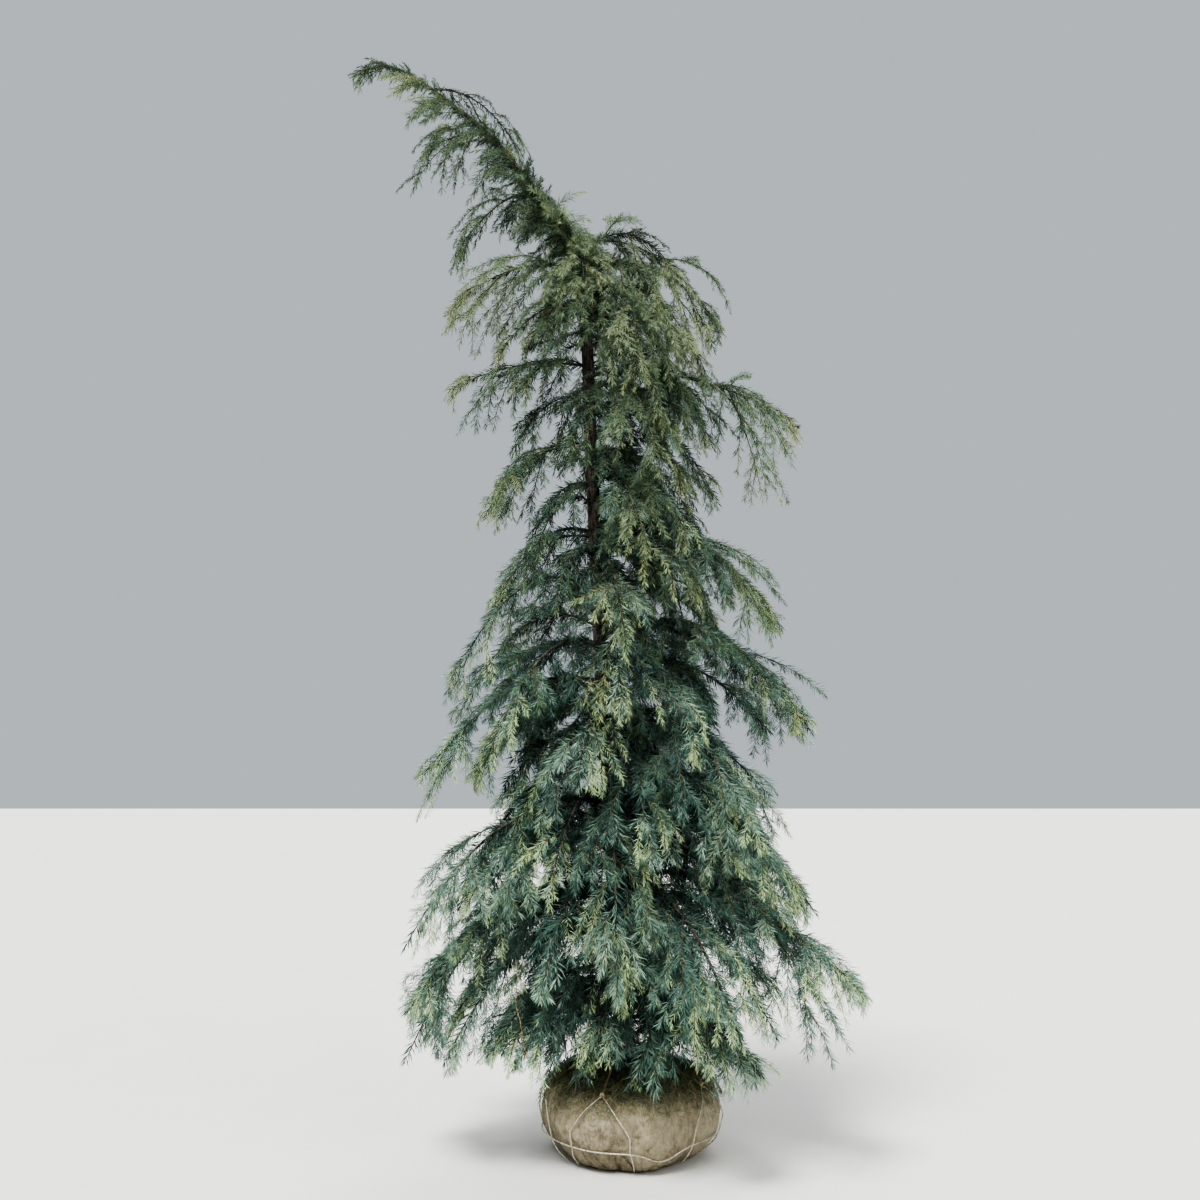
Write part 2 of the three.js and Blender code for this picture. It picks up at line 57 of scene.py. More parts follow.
# The stem's middle line in millimetres: the trunk's seven points, then the seven of the nodding leader
STEM_LINE = MM * np.array([
    [-24, 0, 294], [-33, 0, 560], [-72, 8, 1250], [-118, 2, 2034], [-158, -8, 2900], [-184, 0, 3500],
    [-220, 0, 3752], [-304, -6, 3874], [-425, -18, 4060], [-590, -30, 4272], [-800, -38, 4452],
    [-985, -40, 4583], [-1105, -40, 4612], [-1238, -40, 4556],
])
TRUNK_PART = 6 / 13
STEM_LENGTH = 5.2
FORK_HEIGHT = 3.752
GROUND = 0.334
LEADER_BARE = 0.72

# Tiers of boughs up the trunk: height and lift at the foot, then the heading, reach and fall of each bough
TIERS = [
    (640, 8, {
        "front_left": (216, 560, 190), "front": (258, 430, 170), "front_right": (314, 720, 225),
        "back_right": (48, 640, 190), "back_left": (132, 660, 190),
    }),
    (970, 20, {
        "left": (197, 850, 400), "front_right": (303, 800, 400), "right": (340, 1000, 320),
        "back_right": (62, 780, 350), "back_left": (128, 790, 350),
    }),
    (1340, 24, {
        "front": (272, 640, 640), "front_left": (222, 600, 420), "right": (358, 840, 420),
        "back": (98, 730, 400),
    }),
    (1700, 24, {
        "front_right": (325, 820, 660), "left": (180, 560, 230), "front_left": (240, 500, 400),
        "back_right": (62, 690, 380),
    }),
    (2050, 24, {"right": (353, 880, 400), "front": (278, 450, 520), "back_left": (128, 620, 330)}),
    (2460, 22, {
        "right": (350, 780, 380), "left": (188, 470, 390), "front": (284, 370, 380), "back": (82, 560, 330),
    }),
    (2840, 18, {"front_right": (308, 380, 300), "left": (176, 450, 260), "back": (66, 500, 260)}),
    (3200, 6, {"right": (357, 900, 240), "left": (186, 590, 80), "back": (108, 470, 200)}),
    (3470, 12, {"right": (338, 520, 240), "left": (190, 400, 240)}),
    (3676, 16, {"left": (182, 590, 210), "front": (276, 270, 260), "back": (92, 380, 230)}),
]
STAGGER = [0, 42, -34, 24, -16]
# Painted light: tones made lighter on the sunlit upper tiers, and darker on the leader in shade
LIT_TOP = {7: 0.06, 8: 0.22, 9: 0.42, 10: -0.12}
LOW_TIERS = 4
LOW_SHARE = np.array([1, 0.96, 0.88, 0.74, 0.52, 0.3, 0.14, 0.05, 0, 0, 0])
BARE_TIERS = 3
BARE_SHARE = 0.3
SHORT_BOUGH = 500

# Branches of the leader: how far along it they leave, then lift, heading, reach and fall as on a bough
LEADER_BRANCHES = {
    "low_right": (0.04, 20, 6, 680, 390),
    "low_left": (0.27, -12, 188, 360, 350),
    "middle_left": (0.44, 2, 200, 320, 170),
    "middle_back": (0.34, 8, 60, 260, 210),
    "high_right": (0.62, 14, 18, 420, 250),
}
LEADER_SPRAY = 0.15

# The one twig that stands up on the leader's arch: place along it, heading, lift and length
CREST = (0.83, 166, 50, 0.11)

# Tufts round the top of the trunk: how many, their lowest and their highest foot
TOP_TUFTS = (150, 3.5, 3.92)

# A dead twig that hangs bare at the front left of the crown, from its top down
DEAD_TWIG = np.array([
    (-0.440, -0.330, 0.800), (-0.431, -0.350, 0.715), (-0.438, -0.352, 0.640), (-0.416, -0.356, 0.560),
    (-0.406, -0.350, 0.480), (-0.386, -0.350, 0.414),
])
SEED_STEP = 7919

# Boughs between the tiers: from and up to which height, and their reach in metres at some heights
INNER_HEIGHTS = (0.42, 3.72)
INNER_REACH = (
    (0.45, 0.45), (0.8, 0.70), (1.1, 0.84), (1.5, 0.80), (2.0, 0.72), (2.5, 0.56), (3.0, 0.46), (3.7, 0.42),
)
GOLDEN_TURN = 137.5
EXPOSED = 0.85
SHADED_BELOW = 3.1

# Boughs that close the gaps between the tiers: height, heading and reach in metres
FILLERS = (
    (1.06, 348, 0.82), (1.20, 326, 0.76), (1.16, 8, 0.74), (0.82, 190, 0.66), (0.70, 214, 0.60),
    (0.52, 200, 0.46), (0.96, 162, 0.62), (1.95, 352, 0.70), (1.46, 12, 0.72), (0.50, 338, 0.48),
    (0.58, 250, 0.42), (1.25, 205, 0.66), (0.80, 254, 0.42), (0.87, 286, 0.44), (0.76, 304, 0.46),
    (0.92, 232, 0.50), (1.04, 268, 0.46), (1.56, 318, 0.62), (1.50, 40, 0.62), (1.38, 302, 0.50),
    (1.68, 342, 0.70), (1.80, 262, 0.46), (1.84, 214, 0.52), (0.66, 296, 0.42), (0.62, 324, 0.46),
    (1.94, 320, 0.52), (1.30, 330, 0.66), (1.36, 196, 0.56), (1.30, 228, 0.54), (1.36, 26, 0.70),
    (1.26, 58, 0.64), (1.62, 20, 0.66),
)

# Plumes close together on the upper crown's full side: how many, their lowest and highest foot, and headings
PLUMES = (23, 2.36, 3.74, 282, 108)

# The crown's limits: a bough's largest reach to front or back, the depth of the twigs, and the lowest hem
DEEPEST = 570
DEPTH = (-0.720, 0.776)
HEM = 0.325

# How twigs leave their limb and hang: lifts and bends in degrees, droops, and shares of the full length
SPRAY_LIFT, SPRAY_BEND, SPRAY_PART = (-8, 12), (44, 86), (0.36, 0.82)
HANGING_LIFT, HANGING_BEND, HANGING_GAIN = (-56, -24), (16, 44), 1.15
FORK_ROOM, FORK_SPLAY, FORK_TILT = 0.28, (28, 44), (-20, 24)
FORK_DROOP, FORK_PART = (0.5, 1.6), (0.6, 1.05)
TAIL_SPLAY, TAIL_TILT, TAIL_DROOP = (28, 46), (-30, 26), (0.05, 0.55)
TAIL_LENGTHS, TAIL_PART = (0.022, 0.046), (0.5, 1.3)
TAIL_GAP = np.array([1.0, 1.0, 1.0, 1.0, 0.95, 0.9, 0.85, 0.8, 0.75, 0.7, 0.6])

# Root ball: half width and height of its outline in millimetres, and its broad lumps
BALL_OUTLINE = MM * np.array([
    [0, 0], [272, 0], [292, 12], [330, 50], [356, 102], [366, 162], [360, 214], [338, 258], [296, 292],
    [222, 314], [166, 326], [104, 334], [0, 334],
])
BALL_LUMPS = ((3, 0.016, 0.6), (5, 0.012, 2.1))
OUTWARD_FOLD = 0.0022
BALL_SPREAD = (2.3, 1.1)

# Fallen needles on the ball: colour and count of each kind
LITTER = {"green": ("#55694e", 9800), "tan": ("#a2946c", 7600), "grey": ("#747b5f", 7600)}

# Wire loops: their headings, and the turn, height and clearance of each point of a leg, foot first
LOOP_HEADINGS = (-244, -167, -110, -28, 44)
LOOP_LEG = ((22, 14, 5.5), (21, 50, 6.5), (19, 94, 5.5), (19, 152, 7.5), (10.5, 228, 9.5), (2.4, 274, 9.5))
LOOP_TOP = (0, 282, 9.5)

# The ring: height and clearance, and the dip on its right as drop, heading and width
RING = (94, 5.5)
RING_DIP = (48, 290, 13)

# Ropes: height, turns and rise of the wrap round the trunk, turns of a knot, and turns of the lay in a metre
WRAP_HEIGHT = 0.424
WRAP_TURNS, WRAP_RISE = 4, 0.0125
KNOT_TURNS = 2.5
LAY_TURNS = 38

# The stage: camera's place and lens, and each light's heading, height, share of the key's strength, and angle
CAMERA_X, CAMERA_Y, LENS = -0.118, -5.05, 36
LIGHTS = {"key": (-32, 62, 1, 20), "fill": (48, 34, 0.16, 40), "back": (168, 42, 0.35, 40)}
SKY_TINT = (0.87, 0.94, 1.0, 1)


# Numbers and lines


def unit(vectors):
    """Vectors of length one along the last axis."""
    return vectors / np.maximum(np.linalg.norm(vectors, axis=-1, keepdims=True), 1e-9)


def heading_vector(heading, lift):
    """Unit directions from headings and lifts in degrees."""
    heading, lift = np.radians(heading), np.radians(lift)
    level = np.cos(lift)
    return np.stack([np.cos(heading) * level, np.sin(heading) * level, np.sin(lift)], axis=-1)


def sequence(seed):
    """A generator of even numbers from 0 to 1, the same row for the same seed."""
    state = seed
    while True:
        state = state * 16807 % 2147483647
        yield state / 2147483647


def stem_at(share):
    """Points of the stem's middle line, a centripetal curve from the trunk's foot to the leader's tip."""
    share = np.asarray(share, float)
    ends = 2 * STEM_LINE[[0, -1]] - STEM_LINE[[1, -2]]
    points = np.vstack([ends[:1], STEM_LINE, ends[1:]])
    place = np.clip(share, 0, 1) * (len(STEM_LINE) - 1)
    first = np.minimum(place.astype(int), len(STEM_LINE) - 2)
    w = (place - first)[..., None]
    a, b, c, d = (points[first + i] for i in range(4))
    ab, bc, cd = (np.sqrt(np.linalg.norm(q - p, axis=-1, keepdims=True)) for p, q in ((a, b), (b, c), (c, d)))
    leave = ((b - a) / ab - (c - a) / (ab + bc) + (c - b) / bc) * bc
    arrive = ((c - b) / bc - (d - b) / (bc + cd) + (d - c) / cd) * bc
    square, cube = -3 * b + 3 * c - 2 * leave - arrive, 2 * b - 2 * c + leave + arrive
    return b + leave * w + square * w**2 + cube * w**3


def leader_at(share):
    return stem_at(TRUNK_PART + (1 - TRUNK_PART) * np.asarray(share, float))


def trunk_at_height(height):
    """The point of the trunk's middle line at one height."""
    shares = np.linspace(0, TRUNK_PART, 4001)
    return stem_at(np.interp(height, stem_at(shares)[:, 2], shares))


def tier_at(height):
    """The tier below a height on the trunk."""
    return max(0, np.searchsorted([row[0] * MM for row in TIERS], height) - 1)


def on_lines(lines, share):
    """A point and a direction on each line of an array (lines, points, 3), at one share of each."""
    last = lines.shape[1] - 1
    place = np.clip(share, 0, 1) * last
    first = np.minimum(place.astype(int), last - 1)
    rows = np.arange(len(lines))
    start, end = lines[rows, first], lines[rows, first + 1]
    return start + (end - start) * (place - first)[:, None], unit(end - start)


def arcs(foot, heading, lift, bend, curl, length, steps):
    """Lines that leave their feet at a heading and a lift, and turn aside by curl and down by bend."""
    share = (np.arange(steps) + 0.5) / steps
    turned = heading[:, None] + curl[:, None] * share
    moves = heading_vector(turned, lift[:, None] - bend[:, None] * share) * (length / steps)[:, None, None]
    return np.concatenate([foot[:, None], foot[:, None] + np.cumsum(moves, axis=1)], axis=1)


def hanging(foot, direction, length, droop, steps):
    """Lines that leave their feet in a direction and hang ever more on their way."""
    share = (np.arange(steps) + 0.5) / steps
    moves = unit(direction[:, None, :] - droop[:, None, None] * share[None, :, None] * UP)
    moves = moves * (length / steps)[:, None, None]
    return np.concatenate([foot[:, None], foot[:, None] + np.cumsum(moves, axis=1)], axis=1)


def leaning(along, splay, aside, upward):
    """Directions splayed from limbs' own, by shares of each limb's level side and of the side above it."""
    across, above = sides_of(along)
    outward = aside[:, None] * across + upward[:, None] * above
    return np.cos(splay)[:, None] * along + np.sin(splay)[:, None] * outward


def spaced(count, rng):
    """Places at uneven steps along limbs: each one's limb, and its share of the way along."""
    index = np.repeat(np.arange(len(count)), count)
    within = np.arange(len(index)) - np.repeat(np.cumsum(count) - count, count)
    return index, (within + rng.random(len(index))) / count[index]


def sides_of(direction):
    """A level unit vector across each direction, and the one above it."""
    across = np.cross(direction, UP)
    flat = np.linalg.norm(across, axis=-1) < 0.05
    across[flat] = [1.0, 0.0, 0.0]
    across = unit(across)
    return across, np.cross(across, direction)


# The crown's lines, by the source's rule and carried on to finer twigs


class Bough:
    """One limb of the crown: where it leaves the stem, its reach and fall, and how it is clothed."""

    def __init__(self, tier, foot, heading, reach, fall, lift, bare=0.0):
        self.tier, self.foot, self.heading = tier, foot, heading
        self.reach, self.fall, self.lift = reach * MM, fall * MM, lift
        self.first = bare + 0.03 if bare else max(0.16, 75 / reach)
        self.spread = 0.3 + 0.42 * self.reach
        slender = 1 - 0.5 * min(max((tier - 2) / 5, 0), 1)
        thick = 3.2 + 0.005 * reach if tier >= len(TIERS) - 1 else (6.0 + 0.011 * reach) * slender
        self.thick = thick * MM
        self.inner, self.shaded, self.packed, self.hangs = False, 0.0, 1.0, 0.45
        self.sunlit = LIT_TOP.get(tier, 0.0)

    def at(self, share):
        share = np.asarray(share, float)[..., None]
        climb = self.reach * math.tan(math.radians(self.lift))
        level = self.reach * heading_vector(self.heading, 0.0)
        return self.foot + level * share + UP * (climb * share - (climb + self.fall) * share**2.2)


class LeaderTip(Bough):
    """The end of the leader, which carries sprays as a bough does."""

    def __init__(self):
        ends = leader_at([LEADER_BARE, 1.0])
        super().__init__(len(TIERS), ends[0], 180, np.linalg.norm(ends[1] - ends[0]) / MM, 0, 0)
        self.first, self.spread, self.thick = 0.04, LEADER_SPRAY, 7.5 * MM

    def at(self, share):
        return leader_at(LEADER_BARE + (1 - LEADER_BARE) * np.asarray(share, float))


class LeaderSleeve(LeaderTip):
    """The rest of the leader, which hanging sprays clothe from the fork on."""

    def __init__(self):
        super().__init__()
        self.tier, self.inner, self.spread = len(TIERS) - 1, True, 0.38
        self.reach, self.packed, self.sunlit = 1.15, 3.0, -0.04

    def at(self, share):
        return leader_at(LEADER_BARE * np.asarray(share, float))


def list_boughs():
    """Every bough and every branch of the leader, in the order that numbers their seeds."""
    boughs = []
    for tier, (height, lift, places) in enumerate(TIERS):
        for order, (heading, reach, fall) in enumerate(places.values()):
            bare = BARE_SHARE if tier < BARE_TIERS and reach >= SHORT_BOUGH else 0.0
            foot = trunk_at_height((height + STAGGER[order]) * MM)
            boughs.append(Bough(tier, foot, heading, reach, fall + STAGGER[order], lift, bare))
    for share, lift, heading, reach, fall in LEADER_BRANCHES.values():
        boughs.append(Bough(len(TIERS), leader_at(share), heading, reach, fall, lift))
    boughs.append(LeaderTip())
    for number, bough in enumerate(boughs):
        bough.seed = SEED_STEP * (number + 1)
    return boughs


def inner_bough(height, heading, reach, fall, lift, **habit):
    """A bough between the tiers, with its own habit of growth."""
    bough = Bough(tier_at(height), trunk_at_height(height), heading, reach, fall, lift)
    bough.inner = True
    for name, value in habit.items():
        setattr(bough, name, value)
    return bough


def inner_boughs(rng):
    """Shorter boughs between the tiers, which fill the crown and hide the trunk where the crown is dense."""
    boughs = []
    heights, reaches = zip(*INNER_REACH)
    height, highest = INNER_HEIGHTS
    while height < highest:
        part = rng.uniform(0.62, 1.08)
        reach = np.interp(height, heights, reaches) / MM * part
        heading = (GOLDEN_TURN * len(boughs) + rng.uniform(-20, 20)) % 360
        reach = min(reach, DEEPEST / max(0.1, abs(math.sin(math.radians(heading)))))
        fall = min(reach * rng.uniform(0.4, 0.85), (height - 0.34) / MM)
        shaded = float(part < EXPOSED and height < SHADED_BELOW)
        lift = rng.uniform(10, 30)
        boughs.append(inner_bough(height, heading, reach, fall, lift, shaded=shaded, hangs=0.2))
        height += 0.034 if height < 1.3 else 0.047
    for height, heading, reach in FILLERS:
        fall = min(0.42 * reach, height - 0.36) / MM
        boughs.append(inner_bough(height, heading, reach / MM, fall, 16, hangs=0.3))
    count, low, high, first, turn = PLUMES
    for number in range(count):
        height = low + (high - low) * number / (count - 1)
        heading = first + turn * (0.618 * number % 1)
        reach = rng.uniform(0.42, 0.6) / MM
        fall = reach * rng.uniform(0.55, 0.95)
        lift = rng.uniform(14, 30) + 14 * (number / count) ** 2
        boughs.append(inner_bough(height, heading, reach, fall, lift, packed=1.35))
    return [*boughs, LeaderSleeve()]


def limbs_of(boughs):
    """The boughs that are limbs of their own, without the leader's parts."""
    return [bough for bough in boughs if not isinstance(bough, LeaderTip)]


def source_sprays(bough):
    """The sprays of one bough, pair by pair, with the draws of the source's own rule."""
    draw = sequence(bough.seed)
    reach = bough.reach / MM
    pairs = 4 if reach > 700 else 3 if reach > 480 else 2
    room = (0.93 - bough.first) / pairs
    rows = []
    for pair in range(pairs):
        for side in (1, -1):
            share = bough.first + room * (pair + 0.5 + 0.6 * (next(draw) - 0.5))
            splay = 64 - 30 * share + 14 * (next(draw) - 0.5)
            left = 0.07 + (1 - share) * bough.reach / math.cos(math.radians(splay))
            length = min(bough.spread * (0.85 + 0.3 * next(draw)), left)
            lift_draw, bend, curl = next(draw) - 0.5, 58 + 34 * next(draw), -side * 22 * next(draw)
            rows.append((share, bough.heading + side * splay, 12 * lift_draw, bend, curl, length))
    return rows


def extra_sprays(bough, rng, spacing):
    """Shorter sprays between those of the source, by the same rule, of which some hang straight down."""
    first, last = (0.12 if bough.inner else max(bough.first - 0.08, 0.08)), 0.95
    count = max(2, round((last - first) * bough.reach * bough.packed / spacing))
    rows = []
    for place in range(count):
        for side in (1, -1):
            share = first + (last - first) * (place + rng.random()) / count
            splay = 64 - 30 * share + rng.uniform(-9, 9)
            left = 0.06 + (1 - share) * bough.reach / math.cos(math.radians(splay))
            length = min(bough.spread * rng.uniform(*SPRAY_PART), left) * (0.75 if bough.shaded else 1)
            lift, bend, curl = rng.uniform(*SPRAY_LIFT), rng.uniform(*SPRAY_BEND), -side * rng.uniform(0, 26)
            if bough.hangs and rng.random() < bough.hangs:
                lift, bend = rng.uniform(*HANGING_LIFT), rng.uniform(*HANGING_BEND)
                length = HANGING_GAIN * length
            rows.append((share, bough.heading + side * splay, lift, bend, curl, length))
    return rows


class ShareOut:
    """The crown's space shared out: a point belongs to the bough that it hangs nearest to."""

    def __init__(self, boughs):
        self.places = np.stack([bough.at(0.1 + 0.075 * np.arange(13)) for bough in boughs])

    def belongs(self, owner, lines):
        points = lines[:, lines.shape[1] // 3:]
        away = points[:, :, None, None, :] - self.places[None, None]
        rise = away[..., 2]
        rise = np.where(rise > 0, 1.2 * rise, 0.6 * rise)
        reach = np.sqrt(away[..., 0] ** 2 + away[..., 1] ** 2 + rise**2).min(axis=-1)
        owners = np.broadcast_to(owner[:, None, None], (*reach.shape[:2], 1))
        own = np.take_along_axis(reach, owners, 2)
        np.put_along_axis(reach, owners, 9.0, 2)
        return (reach.min(axis=-1) > own[..., 0] + 0.007).all(axis=1)


class Shoots:
    """Twigs as arrays: lines, half thickness, tier, painted light and shade, freshness, and if inside."""

    def __init__(self, lines, thick, tier, shade, young, inside=None):
        inside = np.zeros(len(lines)) if inside is None else inside
        self.fields = lines, thick, tier, shade, young, inside
        self.lines, self.thick, self.tier, self.shade, self.young, self.inside = self.fields
        self.length = np.linalg.norm(np.diff(lines, axis=1), axis=2).sum(axis=1)

    def __len__(self):
        return len(self.lines)

    def picked(self, rows):
        return Shoots(*(field[rows] for field in self.fields))

    def joined(self, other):
        return Shoots(*(np.concatenate(pair) for pair in zip(self.fields, other.fields)))


def astray(lines):
    """Which lines leave the crown's depth from front to back, or hang below its hem."""
    depth, height = lines[..., 1], lines[..., 2]
    return ((depth < DEPTH[0] + 0.02) | (depth > DEPTH[1] - 0.02) | (height < HEM)).any(axis=1)


def spray_table(boughs, rng, spacing):
    """The sprays of all boughs as rows: foot, heading, lift, bend, curl, length, share along, and bough."""
    table = []
    for number, bough in enumerate(boughs):
        rows = [] if bough.inner else source_sprays(bough)
        rows += extra_sprays(bough, rng, spacing)
        for share, heading, lift, bend, curl, length in rows:
            tangent = unit(bough.at(share + 0.01) - bough.at(share - 0.01))
            level = 0.6 * math.degrees(math.asin(tangent[2])) + 6
            table.append((*bough.at(share), heading, level + lift, bend, curl, length, share, number))
        if not isinstance(bough, LeaderTip):
            foot, end = bough.at(0.8), bough.at(1.0)
            tangent = unit(bough.at(0.87) - bough.at(0.85))
            lift = math.degrees(math.asin(tangent[2]))
            table.append((*foot, bough.heading, lift, 22, 0, 1.05 * np.linalg.norm(end - foot), 0.95, number))
    return np.array(table)


def grow_sprays(boughs, rng, spacing):
    """The sprays that leave the boughs, each as long as its share of the crown's space allows."""
    table = spray_table(boughs, rng, spacing)
    foot, owner = table[:, :3], table[:, 9].astype(int)
    heading, lift, bend, curl, length, share = table[:, 3:9].T
    space = ShareOut([bough for bough in boughs if not bough.inner])
    done = np.array([boughs[i].inner for i in owner])
    outer = ~done
    final = np.where(done, length, 0.48 * length)
    for shorter in (1, 0.8, 0.62):
        lines = arcs(foot, heading, lift, bend, curl, length * shorter, 9)
        fits = np.zeros(len(foot), bool)
        fits[outer] = space.belongs(owner[outer], lines[outer])
        final = np.where(fits & ~done, length * shorter, final)
        done |= fits
    for _ in range(3):
        final = np.where(astray(arcs(foot, heading, lift, bend, curl, final, 12)), 0.7 * final, final)
    lines = arcs(foot, heading, lift, bend, curl, final, 12)
    thick = np.clip(0.0018 + 0.0034 * final, 0.0018, 0.0036)
    keys = ("tier", "shaded", "sunlit")
    tier, inside, sunlit = (np.array([getattr(boughs[i], key) for i in owner]) for key in keys)
    # Painted shade and light: sprays darker near the trunk and on shaded inner boughs, lighter on sunlit
    # tiers
    shade = 0.08 + 0.68 * share - 0.2 * inside + rng.uniform(-0.12, 0.12, len(share))
    young = np.clip(share + 0.1, 0, 1) * rng.uniform(0.35, 1.15, len(share))
    return Shoots(lines, thick, tier, shade + sunlit, young, inside)


def grow_forks(sprays, rng):
    """The long side twigs into which the longer sprays split before they hang."""
    parts = []
    for side in (1, -1):
        count = np.floor(sprays.length / FORK_ROOM + 0.55 * rng.random(len(sprays))).astype(int)
        index, place = spaced(count, rng)
        parts.append((index, 0.12 + 0.6 * place, np.full(len(index), side)))
    index, share, side = (np.concatenate(row) for row in zip(*parts))
    foot, along = on_lines(sprays.lines[index], share)
    splay, tilt = (np.radians(rng.uniform(*limits, len(index))) for limits in (FORK_SPLAY, FORK_TILT))
    direction = leaning(along, splay, side * np.cos(tilt), np.sin(tilt))
    length = sprays.length[index] * (0.80 - 0.55 * share) * rng.uniform(*FORK_PART, len(index))
    droop = rng.uniform(*FORK_DROOP, len(index))
    for _ in range(3):
        length = np.where(astray(hanging(foot, direction, length, droop, 12)), 0.66 * length, length)
    lines = hanging(foot, direction, length, droop, 12)
    # Painted light: forks lighter further out along their spray
    shade = sprays.shade[index] + 0.12 * (share - 0.3) + rng.uniform(-0.1, 0.1, len(index))
    young = sprays.young[index] * rng.uniform(0.7, 1.2, len(index))
    return Shoots(lines, 0.0013 + 0.004 * length, sprays.tier[index], shade, young, sprays.inside[index])


def grow_tails(sprays, rng, gap):
    """The short twigs on both sides of the sprays, shorter towards each spray's tip."""
    count = np.maximum(1, np.round(0.76 * sprays.length / (gap[sprays.tier] * (1 + 0.5 * sprays.inside))))
    parts = []
    for side in (1, -1):
        index, place = spaced(count.astype(int), rng)
        parts.append((index, 0.08 + 0.86 * place, np.full(len(index), side)))
    index, share, side = (np.concatenate(row) for row in zip(*parts))
    foot, along = on_lines(sprays.lines[index], share)
    splay, tilt = (np.radians(rng.uniform(*limits, len(index))) for limits in (TAIL_SPLAY, TAIL_TILT))
    direction = leaning(along, splay, side * np.cos(tilt), np.sin(tilt))
    shortest, more = TAIL_LENGTHS
    length = shortest + more * (1 - share) * rng.uniform(*TAIL_PART, len(index))
    length = length * np.where(sprays.tier[index] < LOW_TIERS + 1, 1.0, 0.9)
    length = np.minimum(length, 0.03 + 0.5 * sprays.length[index] * (1 - share))
    lines = hanging(foot, direction, length, rng.uniform(*TAIL_DROOP, len(index)), 1)
    # Painted shade and light: tails darker near the foot of their spray, lighter towards its end
    shade = sprays.shade[index] + 0.34 * (share - 0.45) + rng.uniform(-0.06, 0.06, len(index))
    young = np.where(share > 0.56, sprays.young[index] * rng.uniform(0.92, 1.08, len(index)), 0.0)
    tails = Shoots(lines, 0.0012 + 0.004 * length, sprays.tier[index], shade, young, sprays.inside[index])
    return tails.picked(~astray(lines))


def grow_leader_twigs(rng):
    """Short twigs all along the leader: a dense sleeve at its foot, and single hanging ones at its end."""
    dense, thinner = rng.uniform(0.0, 0.46, 190), rng.uniform(0.44, 0.7, 44)
    share = np.concatenate([dense, thinner, np.arange(0.7, 0.985, 0.011)])
    foot = leader_at(share)
    along = unit(leader_at(share + 0.004) - leader_at(share - 0.004))
    across, above = sides_of(along)
    turn = np.radians(GOLDEN_TURN * np.arange(len(share)) + rng.uniform(-25, 25, len(share)))
    outward = np.cos(turn)[:, None] * across + (np.sin(turn) - 0.25)[:, None] * above
    direction = unit(0.75 * along + outward)
    length = rng.uniform(0.045, 0.10, len(share)) * (1.2 - 0.55 * share)
    place, heading, lift, crest = CREST
    foot[-1], direction[-1], length[-1] = leader_at(place), heading_vector(heading, lift), crest
    lines = hanging(foot, direction, length, rng.uniform(0.2, 1.1, len(share)), 4)
    tier = np.where(share < 0.3 + 0.2 * rng.random(len(share)), len(TIERS) - 1, len(TIERS))
    shade = rng.uniform(0.16, 0.56, len(share))
    return Shoots(lines, np.full(len(share), 0.0014), tier, shade, rng.random(len(share)))


def grow_top_tufts(rng):
    """Short shoots all round the top of the trunk, which make its dense round head."""
    count, low, top = TOP_TUFTS
    height = rng.uniform(low, top, count)
    foot = np.array([trunk_at_height(min(z, FORK_HEIGHT)) for z in height])
    high = height > FORK_HEIGHT
    foot[high] = leader_at((height[high] - FORK_HEIGHT) * 1.2)
    direction = heading_vector(rng.uniform(0, 360, count), rng.uniform(-10, 60, count))
    lines = hanging(foot, direction, rng.uniform(0.09, 0.24, count), rng.uniform(0.5, 1.6, count), 4)
    tier = np.full(count, len(TIERS) - 1)
    # Painted sunlight: the tufts of the round head get light tones
    return Shoots(lines, np.full(count, 0.0016), tier, rng.uniform(0.48, 0.9, count), 0.8 * rng.random(count))


_grown = {}


def crown(settings):
    """The boughs, sprays and twigs of the whole tree, grown once for one setting of their spacing."""
    key = (settings.spray_spacing, settings.twig_spacing, settings.seed)
    if key not in _grown:
        rng = np.random.default_rng(settings.seed)
        boughs = list_boughs() + inner_boughs(rng)
        sprays = grow_sprays(boughs, rng, settings.spray_spacing)
        sprays = sprays.joined(grow_forks(sprays, rng))
        tails = grow_tails(sprays, rng, settings.twig_spacing * TAIL_GAP)
        _grown[key] = boughs, sprays, tails, grow_leader_twigs(rng), grow_top_tufts(rng)
    return _grown[key]


# Meshes and pieces


def tubes(lines, radii, sides):
    """Tapering tubes with pointed ends round lines, as points and outward triangles."""
    count, rows, _ = lines.shape
    along = unit(np.gradient(lines, axis=1))
    level = np.cross(lines[:, -1] - lines[:, 0], UP)
    level[np.linalg.norm(level, axis=1) < 1e-3] = [1.0, 0.0, 0.0]
    across = level[:, None, :] - (level[:, None, :] * along).sum(-1, keepdims=True) * along
    across = unit(across)
    above = np.cross(along, across)
    turn = 2 * np.pi * np.arange(sides) / sides
    ring = np.cos(turn)[:, None] * across[:, :-1, None] + np.sin(turn)[:, None] * above[:, :-1, None]
    rings = lines[:, :-1, None] + radii[:, :-1, None, None] * ring
    points = np.concatenate([rings.reshape(count, -1, 3), lines[:, -1:]], axis=1)
    i, j = np.meshgrid(np.arange(rows - 2), np.arange(sides), indexing="ij")
    a, b = (i * sides + j).ravel(), (i * sides + (j + 1) % sides).ravel()
    c, d = b + sides, a + sides
    last, following = np.arange(sides), (np.arange(sides) + 1) % sides
    above_last = (rows - 2) * sides
    tip = np.stack([above_last + last, above_last + following, np.full(sides, above_last + sides)], 1)
    one = np.concatenate([np.stack([a, b, c], 1), np.stack([a, c, d], 1), tip])
    per_line = (rows - 1) * sides + 1
    triangles = (one[None] + (np.arange(count) * per_line)[:, None, None]).reshape(-1, 3)
    return points.reshape(-1, 3), triangles


